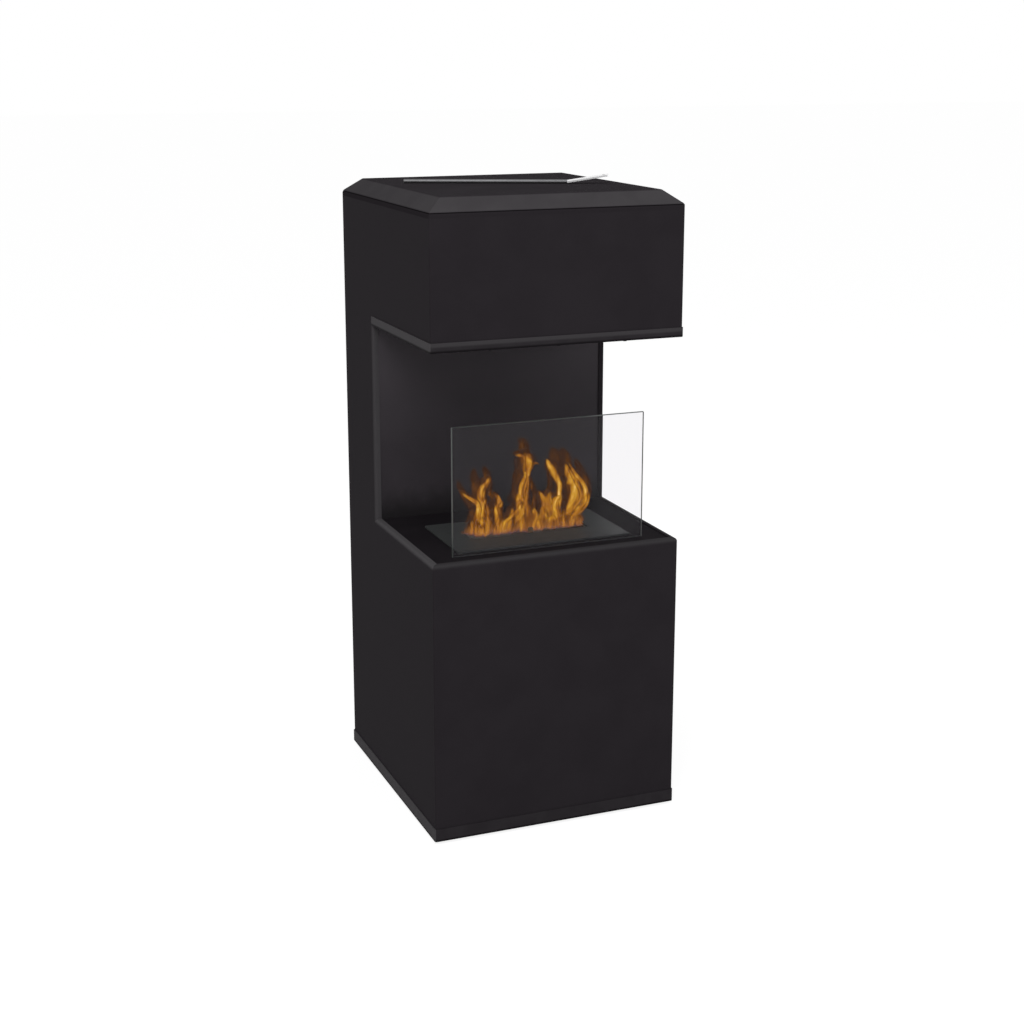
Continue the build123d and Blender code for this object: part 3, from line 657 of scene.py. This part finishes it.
mesh = bmesh.new()
bmesh.ops.create_cube(mesh, size=1.0)
bmesh.ops.subdivide_edges(mesh, edges=mesh.edges, cuts=WOOL_CUTS, use_grid_fill=True)
for vertex in mesh.verts:
    sides_met = sum(1 for c in vertex.co if abs(abs(c) - 0.5) < 0.001)
    on_floor = vertex.co.z < -0.499
    point = Vector([vertex.co[i] * wool_size[i] for i in range(3)]) + wool_middle
    lump = 0.5 + 0.5 * noise.noise(point / LUMP_SIZE) + 0.25 * noise.noise(point / SMALL_LUMP_SIZE)
    pull = WOOL_LUMP * max(lump, 0.0) * (1 + WOOL_CORNER_PULL * (sides_met - 1))
    if not on_floor:
        point += (wool_middle - point).normalized() * pull
    vertex.co = point
wool = finish_mesh("wool_block", mesh, wool_fibre, smooth_angle=180)
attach(wool, "burner")
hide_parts("wick_block")


# --- Glass screen --------------------------------------------------------------------------------------
# A pane of 5 mm clear toughened glass with its edges ground and bevelled, standing loose in a channel,
# and the black silicone liner that holds it there. A thin film of dust on the glass scatters some light,
# and the pane mirrors nothing, because a few mirrored lights would speckle the dark wall behind it.

GLASS_TINT = (0.912, 0.903, 0.918, 1)
NO_MIRROR = (0.0, 0.0, 0.0, 1)
CLEAR_SHARE = 0.9938
GLASS_IOR = 1.45
GROUND_EDGE = (0.070, 0.078, 0.076, 1)
GROUND_EDGE_DEEP = (0.038, 0.044, 0.042, 1)
EDGE_BEVEL = 0.8 * MM
SILICONE_DEEP = (0.008, 0.009, 0.010, 1)
SILICONE_PALE = (0.016, 0.017, 0.018, 1)


def lets_light_by(tree, shader, tint):
    """Glass that lamps light things through, so that it casts no dark shadow."""
    path = node(tree, "LightPath").outputs
    unseen = math_node(tree, "MAXIMUM", path["Is Shadow Ray"], path["Is Diffuse Ray"])
    clear = node(tree, "BsdfTransparent", {"Color": tint}).outputs[0]
    mix = node(tree, "MixShader", {0: unseen, 1: shader.outputs[0], 2: clear})
    tree.links.new(mix.outputs[0], tree.nodes["Material Output"].inputs["Surface"])


clear_glass, tree, shader = new_material(
    "clear_glass", transmission_weight=CLEAR_SHARE, roughness=0.0, ior=GLASS_IOR, base_color=GLASS_TINT,
    specular_tint=NO_MIRROR,
)
lets_light_by(tree, shader, GLASS_TINT)

ground_glass, tree, shader = new_material(
    "ground_glass_edge", transmission_weight=0.4, specular_ior_level=0.1
)
place = object_place(tree)
grind = noise_of(tree, place, 0.4 * MM)
feed(tree, shader, base_color=mixed(tree, grind, GROUND_EDGE_DEEP, GROUND_EDGE))
feed(tree, shader, roughness=spread(tree, grind, 0.35, 0.55))
lets_light_by(tree, shader, GLASS_TINT)

pane_low, pane_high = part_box("glass_pane")
mesh = bmesh.new()
bmesh.ops.create_cube(mesh, size=1.0)
for vertex in mesh.verts:
    vertex.co = [(pane_low, pane_high)[vertex.co[i] > 0][i] for i in range(3)]
bmesh.ops.bevel(mesh, geom=mesh.edges[:], offset=EDGE_BEVEL, segments=1, affect="EDGES")
pane = finish_mesh("glass_screen", mesh, clear_glass, smooth_angle=5)
pane.data.materials.append(ground_glass)
for face in pane.data.polygons:
    face.material_index = int(abs(face.normal.y) < 0.999)
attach(pane, "glass")
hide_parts("glass_pane")

silicone, tree, shader = new_material("silicone", roughness=0.6, specular_ior_level=0.3)
place = object_place(tree)
bloom = noise_of(tree, place, 6 * MM, detail=3.0)
feed(tree, shader, base_color=mixed(tree, bloom, SILICONE_DEEP, SILICONE_PALE))
feed(tree, shader, normal=bumped(tree, noise_of(tree, place, 0.5 * MM), 0.02 * MM))
coat_on(silicone, "glass_channel_liner")


# --- Flames --------------------------------------------------------------------------------------------
# The burning fuel's flames, rising through the slot. Each tongue is a glowing sheet that is drawn out to a
# tip, with a dim haze behind it. One that is rooted in the slot has a fainter sheet across it too. They
# ride on the burner.

# Tongues that start lower than this, in mm over the plate, come up out of the slot.
ROOTED_UNDER = 12
ROOT_DEPTH = 26 * MM
ROOT_SHARE = 0.7
SHEET_STEPS = 5
SHEET_COLUMNS = 8
SHEET_WIDEN = 1.35
SHEET_BULGE = 0.15
LEAST_HALF_WIDTH = 0.3 * MM
CROSS_COLUMNS = 6
CROSS_SHARE = 0.85
CROSS_FAINT = 0.25
HAZE_WIDEN = 1.8
HAZE_BEHIND = 11 * MM
SPREAD_PER_MM = 1 / 90
LOW_FLAME_BACK = 6
LOW_FLAME_HEAT = 0.05
SEED_SPACING = 100 * MM
NO_BULGE = Vector((0, 0, 0))

# Each tongue: how far behind the slot's middle it stands, how much hotter than the rest it is, then for
# each point of its path the distance along the slot, the height over the plate and the half width, in mm.
TONGUES = (
    (-4, 0.20, ((-88, 6, 5), (-87, 21, 5.5), (-86, 34, 5), (-84, 44, 4.5), (-88, 55, 4.5),
                (-97, 61, 3.5), (-106, 68, 2), (-113, 74, 0.5))),
    (2, 0.14, ((-72, 1, 9), (-71, 16, 13), (-71, 29, 12), (-71, 44, 8), (-75, 57, 6.5),
               (-75, 69, 6.5), (-69, 79, 5.5), (-63, 87, 4.5), (-63, 94, 1))),
    (-3, 0.06, ((-50, 8, 8), (-50, 29, 8), (-52, 42, 6.5), (-48, 51, 4.5), (-53, 61, 3.5), (-58, 69, 0.5))),
    (-5, 0.14, ((-49, 44, 4), (-45, 50, 3), (-41, 49, 0.5))),
    (4, 0.0, ((-40, 6, 6), (-42, 19, 4), (-46, 28, 2.5), (-48, 37, 0.5))),
    (-4, 0.12, ((-40, 11, 4), (-27, 24, 4.5), (-17, 34, 5), (-11, 43, 3.5), (-9, 51, 1))),
    (2, 0.18, ((-2, 4, 16), (-3, 19, 16), (-4, 30, 12.5), (-5, 42, 10.5), (-5, 54, 10),
               (-1, 66, 7), (2, 78, 5), (1, 90, 5), (0, 99, 7.5), (1, 109, 9), (1, 118, 7.5),
               (-2, 128, 1))),
    (-3, 0.0, ((-10, 50, 5), (-12, 65, 4), (-10, 76, 3.5), (-6, 86, 3), (-4, 97, 1))),
    (-3, 0.24, ((1, 90, 3), (1, 101, 6.5), (1, 112, 8), (0, 122, 6), (-3, 130, 0.5))),
    (-2, 0.34, ((-1, 113, 5), (-8, 122, 3.5), (-15, 125, 2.5), (-23, 125, 0.5))),
    (-2, 0.02, ((4, 103, 4), (11, 109, 2.5), (16, 109, 1.5), (21, 105, 0.5))),
    (-4, 0.06, ((13, 7, 6), (14, 19, 5.5), (12, 29, 4), (11, 39, 0.5))),
    (3, 0.22, ((30, 7, 6.5), (31, 22, 6), (33, 35, 5.5), (30, 49, 4), (23, 62, 0.5))),
    (-2, 0.28, ((44, 7, 7.5), (43, 24, 7), (41, 38, 6.5), (37, 48, 6), (40, 61, 1.5))),
    (-4, 0.20, ((54, 9, 7), (51, 25, 5.5), (48, 37, 5.5), (51, 47, 5), (61, 51, 0.5))),
    (4, 0.14, ((58, 22, 3), (61, 42, 3), (60, 52, 4), (61, 66, 4.5), (57, 78, 4.5),
               (50, 90, 5.5), (43, 102, 4), (37, 113, 0.5))),
    (1, 0.14, ((70, 8, 9), (74, 21, 9), (80, 32, 11), (87, 43, 13.5), (89, 55, 12.5),
               (83, 69, 10), (77, 82, 7), (72, 93, 4.5), (67, 104, 0.5))),
    (-3, 0.0, ((77, 8, 5.5), (89, 21, 6), (100, 33, 6), (104, 46, 5), (100, 62, 3.5),
               (91, 76, 3.5), (82, 87, 3), (70, 106, 0.5))),
)

# Thin brown wisps behind and over the tongues, given the same way.
WISPS = (
    (6, 0.0, ((-78, 52, 6), (-83, 74, 7), (-85, 92, 6), (-84, 110, 1))),
    (5, 0.0, ((-93, 44, 5), (-101, 62, 6), (-110, 78, 4), (-114, 92, 1))),
    (5, 0.0, ((-60, 60, 5), (-63, 84, 7), (-66, 100, 5), (-70, 112, 1))),
    (6, 0.0, ((-12, 44, 6), (-17, 62, 5), (-15, 84, 5), (-9, 104, 3))),
    (5, 0.08, ((1, 108, 9), (1, 126, 10), (-2, 139, 8), (-9, 152, 1))),
    (6, 0.0, ((14, 30, 6), (18, 52, 4), (14, 70, 4), (9, 88, 1))),
    (6, 0.0, ((38, 52, 6), (45, 66, 6), (44, 80, 4), (40, 92, 1))),
    (5, 0.06, ((60, 80, 9), (56, 103, 11), (52, 118, 8), (45, 131, 1))),
    (6, 0.0, ((76, 84, 9), (76, 100, 9), (70, 116, 7), (62, 128, 1))),
    (6, 0.04, ((106, 28, 7), (111, 52, 7), (104, 74, 8), (95, 94, 6), (90, 110, 1))),
)

# Low flames along the slot: where each stands, where its tip is, its height and its half width, in mm.
LOW_FLAMES = (
    (-88, -91, 24, 9), (-76, -79, 34, 13), (-62, -60, 23, 12), (-52, -47, 33, 11), (-41, -45, 19, 11),
    (-30, -24, 27, 13), (-17, -21, 38, 12), (-5, -8, 30, 14), (8, 12, 33, 12), (21, 18, 21, 12),
    (31, 35, 36, 11), (43, 40, 26, 12), (56, 60, 35, 13), (68, 65, 22, 12), (79, 85, 34, 13), (88, 92, 20, 9),
)


def through_points(points, steps):
    """Points on a smooth curve through the given ones, evenly stepped between each two."""
    ends = [2 * points[0] - points[1], *points, 2 * points[-1] - points[-2]]
    made = []
    for a, b, c, d in zip(ends, ends[1:], ends[2:], ends[3:]):
        for i in range(steps):
            t = i / steps
            square = 2 * a - 5 * b + 4 * c - d
            cube = 3 * b - a - 3 * c + d
            made.append(0.5 * (2 * b + (c - a) * t + square * t * t + cube * t ** 3))
    made.append(points[-1])
    return made


def flame_sheet(mesh, layers, path, widths, sideways, bulge, columns, seed, faint, heat):
    """
    One sheet of a tongue, along a path with a half width at each of its points. sideways gives the way
    across it for a direction of the path, and bulge is the way its edges bend, as a share of its half
    width. faint says how dim it is, heat how much hotter than the rest, and seed sets its noise apart.
    """
    rows = []
    climbed = [0.0]
    for low, high in zip(path, path[1:]):
        climbed.append(climbed[-1] + (high - low).length)
    for i, (point, width) in enumerate(zip(path, widths)):
        before = path[max(i - 1, 0)]
        after = path[min(i + 1, len(path) - 1)]
        across = sideways((after - before).normalized())
        row = []
        for j in range(columns + 1):
            u = 2 * j / columns - 1
            vertex = mesh.verts.new(point + across * (u * width) + bulge * (width * (u * u - 0.4)))
            vertex[layers["across"]] = u
            vertex[layers["to_tip"]] = climbed[-1] - climbed[i]
            vertex[layers["faint"]] = faint
            vertex[layers["heat"]] = heat
            vertex[layers["flow"]] = Vector((u * width, climbed[i], seed * SEED_SPACING))
            row.append(vertex)
        rows.append(row)
    for low, high in zip(rows, rows[1:]):
        for j in range(columns):
            mesh.faces.new((low[j], low[j + 1], high[j + 1], high[j]))


def along_slot(direction):
    """Sideways from a tongue's direction, in the slot's upright plane."""
    return Vector((direction.z, 0, -direction.x))


def front_to_back(direction):
    """Across the slot, whatever the tongue's direction."""
    return Vector((0, 1, 0))


def low_tongues():
    """The low flames, given the same way as the tongues, in turn behind and before the slot's middle."""
    made = []
    for i, (foot, tip, top, width) in enumerate(LOW_FLAMES):
        back = LOW_FLAME_BACK * (-1) ** i
        waist = (0.7 * foot + 0.3 * tip, 0.45 * top, 0.8 * width)
        made.append((back, LOW_FLAME_HEAT, ((foot, 2, width), waist, (tip, top, 0.5))))
    return made


def make_flames():
    """All tongues, wisps and low flames as one mesh of open sheets, with the values its material reads."""
    mesh = bmesh.new()
    layers = {name: mesh.verts.layers.float.new(name) for name in ("across", "to_tip", "faint", "heat")}
    layers["flow"] = mesh.verts.layers.float_vector.new("flow")
    base = Vector((SLOT_MIDDLE.x, SLOT_MIDDLE.y, PLATE_TOP))
    glowing = [(*tongue, 0.0) for tongue in (*TONGUES, *low_tongues())]
    dim = [(*wisp, 1.0) for wisp in WISPS]
    for seed, (back, heat, points, faint) in enumerate(glowing + dim):
        places = []
        widths = []
        for x, height, width in points:
            places.append(Vector((x, back * (1 + height * SPREAD_PER_MM), height)) * MM)
            widths.append(Vector((width, 0, 0)) * MM)
        rooted = points[0][1] < ROOTED_UNDER
        if rooted:
            root = places[0].copy()
            root.z = -ROOT_DEPTH
            places.insert(0, root)
            widths.insert(0, widths[0] * ROOT_SHARE)
        path = [base + place for place in through_points(places, SHEET_STEPS)]
        smooth = through_points(widths, SHEET_STEPS)
        half = [SHEET_WIDEN * max(width.x, LEAST_HALF_WIDTH) for width in smooth]
        bulge = NO_BULGE if faint else Vector((0, SHEET_BULGE, 0))
        flame_sheet(mesh, layers, path, half, along_slot, bulge, SHEET_COLUMNS, seed, faint, heat)
        if faint:
            continue
        behind = [Vector((point.x, base.y + HAZE_BEHIND, point.z)) for point in path]
        hazy = [width * HAZE_WIDEN for width in half]
        flame_sheet(mesh, layers, behind, hazy, along_slot, NO_BULGE, SHEET_COLUMNS, seed + 0.3, 1.0, 0.0)
        if rooted:
            cross = [width * CROSS_SHARE for width in half]
            flame_sheet(
                mesh, layers, path, cross, front_to_back, NO_BULGE,
                CROSS_COLUMNS, seed + 0.6, CROSS_FAINT, heat,
            )
    return mesh


FLAME_STOPS = (
    (0.00, (0.040, 0.012, 0.002, 1)),
    (0.22, (0.085, 0.027, 0.002, 1)),
    (0.38, (0.200, 0.062, 0.004, 1)),
    (0.55, (0.410, 0.158, 0.008, 1)),
    (0.75, (0.670, 0.345, 0.025, 1)),
    (1.00, (1.000, 0.740, 0.280, 1)),
)
ROOT_SALMON = (0.48, 0.185, 0.050, 1)
ROOT_VIOLET = (0.085, 0.045, 0.085, 1)
LICK_SIZE = (10.0 * MM, 30 * MM)
STREAK_SIZE = (4.5 * MM, 16 * MM)
GLOW_SIZE = (13.0 * MM, 30 * MM)
GLOW_SLANT = -0.5
TIP_FADE = 9 * MM
TIP_DIMS = 16 * MM
COOLS_FROM = 45 * MM
COOLS_TO = 150 * MM
# The tongues stand apart from each other over these heights; below, they run into one another.
FREE_FROM = 8 * MM
FREE_TO = 48 * MM
# The heights at which a change begins, and at which it is full.
SALMON_HEIGHTS = (16 * MM, 0.0)
VIOLET_HEIGHTS = (5 * MM, -3 * MM)
SEEN_HEIGHTS = (-4 * MM, 2 * MM)

flame, tree, shader = new_material(
    "flame", base_color=(0, 0, 0, 1), roughness=1.0, specular_ior_level=0.0, emission_strength=1.0
)
across = node(tree, "Attribute", attribute_name="across").outputs["Fac"]
to_tip = node(tree, "Attribute", attribute_name="to_tip").outputs["Fac"]
faint = node(tree, "Attribute", attribute_name="faint").outputs["Fac"]
heat = node(tree, "Attribute", attribute_name="heat").outputs["Fac"]
flow = node(tree, "Attribute", attribute_name="flow").outputs["Vector"]


def drawn_out_noise(tree, vector, size, distortion):
    """Noise stretched along a tongue: size is its features' width and length."""
    shrink = (1 / size[0], 1 / size[1], 1)
    placed = node(tree, "Mapping", {"Vector": vector, "Scale": shrink}).outputs["Vector"]
    inputs = {"Vector": placed, "Scale": 1.0, "Detail": 1.5, "Roughness": 0.5, "Distortion": distortion}
    return stretch(tree, node(tree, "TexNoise", inputs).outputs["Fac"], 0.28, 0.72)


def weighted(tree, *pairs):
    """The sum of values, each times its weight."""
    total = 0.0
    for value, weight in pairs:
        total = math_node(tree, "MULTIPLY_ADD", value, weight, total)
    return total


# The glow is one pattern through all the sheets; the licks and streaks run along each tongue's own path.
place = node(tree, "SeparateXYZ", {"Vector": object_place(tree)}).outputs
slanted = math_node(tree, "MULTIPLY_ADD", place["Y"], GLOW_SLANT, place["X"])
shared = node(tree, "CombineXYZ", {"X": slanted, "Y": place["Z"]}).outputs["Vector"]
glow = drawn_out_noise(tree, shared, GLOW_SIZE, 0.8)
licks = drawn_out_noise(tree, flow, LICK_SIZE, 1.2)
streaks = drawn_out_noise(tree, flow, STREAK_SIZE, 0.6)
height = math_node(tree, "SUBTRACT", place["Z"], PLATE_TOP)
inside = math_node(tree, "SUBTRACT", 1.0, math_node(tree, "ABSOLUTE", across))
ragged = weighted(tree, (inside, 1.0), (licks, 0.36), (streaks, 0.12), (1.0, -0.22))
free = stretch(tree, height, FREE_FROM, FREE_TO)
border = math_node(tree, "MULTIPLY", stretch(tree, inside, 0.40, 0.0), free)
core = math_node(tree, "MULTIPLY", stretch(tree, inside, 0.20, 0.8), free)
shaded_side = math_node(tree, "MULTIPLY", across, free)
cooled = stretch(tree, height, COOLS_FROM, COOLS_TO)
at_tip = stretch(tree, to_tip, TIP_DIMS, 0.0)
tone = weighted(
    tree,
    (1.0, 0.13), (heat, 1.0), (glow, 0.38), (licks, 0.18), (streaks, 0.05), (core, 0.24),
    (faint, -0.46), (border, -0.12), (shaded_side, -0.12), (free, -0.08), (cooled, -0.06), (at_tip, -0.08),
)
bright = stretch(tree, tone, 0.30, 0.60)
ramp = node(tree, "ValToRGB", {"Fac": tone})
while len(ramp.color_ramp.elements) < len(FLAME_STOPS):
    ramp.color_ramp.elements.new(0.5)
for element, (position, colour) in zip(ramp.color_ramp.elements, FLAME_STOPS):
    element.position = position
    element.color = colour
near_root = stretch(tree, height, *SALMON_HEIGHTS, 0.0, 0.35)
blush = math_node(tree, "MULTIPLY", stretch(tree, licks, 0.55, 0.0, 0.0, 0.30), bright)
salmon = math_node(tree, "MAXIMUM", near_root, blush)
in_slot = stretch(tree, height, *VIOLET_HEIGHTS)
violet = math_node(tree, "MULTIPLY", in_slot, stretch(tree, licks, 0.0, 1.0, 0.9, 0.3))
colour = mixed(tree, violet, mixed(tree, salmon, ramp.outputs["Color"], ROOT_SALMON), ROOT_VIOLET)
body = stretch(tree, ragged, 0.06, stretch(tree, free, 0.0, 1.0, 0.80, 0.42))
haze = stretch(tree, ragged, 0.03, 0.48, 0.0, 0.95)
cover = node(tree, "MapRange", {"Value": faint, "To Min": body, "To Max": haze}).outputs["Result"]
over_slot = stretch(tree, height, *SEEN_HEIGHTS)
short_of_tip = stretch(tree, to_tip, 0.0, TIP_FADE)
ends = math_node(tree, "MULTIPLY", over_slot, short_of_tip)
feed(tree, shader, emission_color=colour, alpha=math_node(tree, "MULTIPLY", cover, ends, clamp=True))

# How many see-through sheets one line of sight may pass.
LIGHT_LAYERS = 40

flames = finish_mesh("flames", make_flames(), flame, smooth_angle=180)
flames.visible_shadow = False
flames.visible_diffuse = False
bpy.context.scene.cycles.transparent_max_bounces = LIGHT_LAYERS
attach(flames, "burner")
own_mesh(flames)


# --- Regulator tool ------------------------------------------------------------------------------------
# The loose tool that reaches in to push the damper: a round steel shank with a dull satin finish, and a
# flat blade, cranked up and polished bright, welded on its end.

SHANK_DEEP = (0.10, 0.10, 0.103, 1)
SHANK_PALE = (0.19, 0.19, 0.195, 1)
BLADE_DEEP = (0.72, 0.72, 0.73, 1)
BLADE_PALE = (0.90, 0.90, 0.90, 1)

for name, piece, deep, pale, roughest, smoothest in (
    ("tool_steel", "tool_shank", SHANK_DEEP, SHANK_PALE, 0.62, 0.5),
    ("tool_bright_steel", "tool_blade", BLADE_DEEP, BLADE_PALE, 0.52, 0.40),
):
    steel, tree, shader = new_material(name, metallic=1.0)
    place = object_place(tree)
    lines = use_group(tree, BRUSHED, vector=place, line_length=12 * MM, line_width=0.25 * MM)["Lines"]
    handled = noise_of(tree, place, 14 * MM, detail=3.0)
    tone = halfway(tree, lines, handled)
    feed(tree, shader, base_color=mixed(tree, tone, deep, pale))
    feed(tree, shader, roughness=stretch(tree, tone, 0.2, 0.8, roughest, smoothest))
    feed(tree, shader, normal=bumped(tree, lines, 0.008 * MM))
    coat_on(steel, piece)


# --- Feet ----------------------------------------------------------------------------------------------
# Four round pads of black moulded plastic that the tower stands on. Each turns on a zinc-plated stud that
# screws into a boss in the base's floor, to set the tower level.

PLASTIC_DEEP = (0.012, 0.012, 0.013, 1)
PLASTIC_PALE = (0.022, 0.022, 0.023, 1)

pad_plastic, tree, shader = new_material("foot_plastic", specular_ior_level=0.35)
place = object_place(tree)
speckle = noise_of(tree, place, 0.9 * MM, detail=2.0)
feed(tree, shader, base_color=mixed(tree, speckle, PLASTIC_DEEP, PLASTIC_PALE))
feed(tree, shader, roughness=spread(tree, speckle, 0.5, 0.62))
feed(tree, shader, normal=bumped(tree, speckle, 0.03 * MM))
coat_on(pad_plastic, *(f"foot_pad_{corner}" for corner in CORNERS))


# --- Studio --------------------------------------------------------------------------------------------
# A pale floor and a white surround, which look white but light the tower only softly, and two soft lamps:
# a key high on the left, and a fill on the right.

FLOOR_HALF = 30.0
FLOOR_TONE = (0.80, 0.80, 0.80, 1)
FLOOR_GLOW = 0.86
FLOOR_SHADED = (0.22, 0.22, 0.22, 1)
SURROUND_LIGHT = 0.6
WHITE = (1, 1, 1, 1)

floor_mesh = bmesh.new()
bmesh.ops.create_grid(floor_mesh, x_segments=1, y_segments=1, size=FLOOR_HALF)
floor_paint, tree, shader = new_material(
    "studio_floor", base_color=FLOOR_TONE, roughness=0.9, specular_ior_level=0.0
)


def seen_directly(tree):
    """1 for a ray that looks straight at a surface, or in metal or through glass; 0 for light on objects."""
    path = node(tree, "LightPath").outputs
    looks = math_node(tree, "MAXIMUM", path["Is Camera Ray"], path["Is Glossy Ray"])
    return math_node(tree, "MAXIMUM", looks, path["Is Transmission Ray"])


bright = node(tree, "Emission", {"Color": WHITE, "Strength": FLOOR_GLOW}).outputs[0]
shaded = node(tree, "BsdfDiffuse", {"Color": FLOOR_SHADED}).outputs[0]
shown = node(tree, "AddShader", {0: bright, 1: shaded}).outputs[0]
mix = node(tree, "MixShader", {0: seen_directly(tree), 1: shader.outputs[0], 2: shown})
tree.links.new(mix.outputs[0], tree.nodes["Material Output"].inputs["Surface"])
floor = finish_mesh("studio_floor", floor_mesh, floor_paint)

world = bpy.data.worlds.new("studio")
world.use_nodes = True
bpy.context.scene.world = world
tree = world.node_tree
lit = tree.nodes["Background"]
lit.inputs["Color"].default_value = WHITE
lit.inputs["Strength"].default_value = SURROUND_LIGHT
shown = node(tree, "Background", {"Color": WHITE, "Strength": 1.0})
mix = node(tree, "MixShader", {0: seen_directly(tree), 1: lit.outputs[0], 2: shown.outputs[0]})
tree.links.new(mix.outputs[0], tree.nodes["World Output"].inputs["Surface"])


def add_lamp(name, place, aim, size, power):
    """A square soft lamp at a place, turned to what it lights."""
    lamp = bpy.data.lights.new(name, "AREA")
    lamp.shape = "SQUARE"
    lamp.size = size
    lamp.energy = power
    holder = bpy.data.objects.new(name, lamp)
    holder.location = place
    holder.rotation_euler = (Vector(aim) - Vector(place)).to_track_quat("-Z", "Y").to_euler()
    bpy.context.scene.collection.objects.link(holder)


add_lamp("key_lamp", place=(-1.4, -2.3, 2.7), aim=(0, 0, 0.6), size=1.6, power=62)
add_lamp("fill_lamp", place=(2.4, -2.4, 1.8), aim=(0, 0, 0.5), size=2.0, power=30)


# --- Camera --------------------------------------------------------------------------------------------
# Looks a little down on the tower from the front left, as the photograph was taken, through a long lens
# that keeps the uprights nearly parallel.

CAMERA_PLACE = (-1.0080, -2.5409, 1.2104)
CAMERA_TURN = math.radians(21.832)
CAMERA_TILT = math.radians(13.596)
CAMERA_LENS = 60.24
CAMERA_SHIFT = -0.05

camera = bpy.data.objects.new("camera", bpy.data.cameras.new("camera"))
camera.location = CAMERA_PLACE
camera.rotation_euler = (math.pi / 2 - CAMERA_TILT, 0, -CAMERA_TURN)
camera.data.lens = CAMERA_LENS
camera.data.shift_y = CAMERA_SHIFT
camera.data.clip_end = 100
bpy.context.scene.collection.objects.link(camera)
bpy.context.scene.camera = camera
bpy.context.scene.view_settings.view_transform = "Standard"
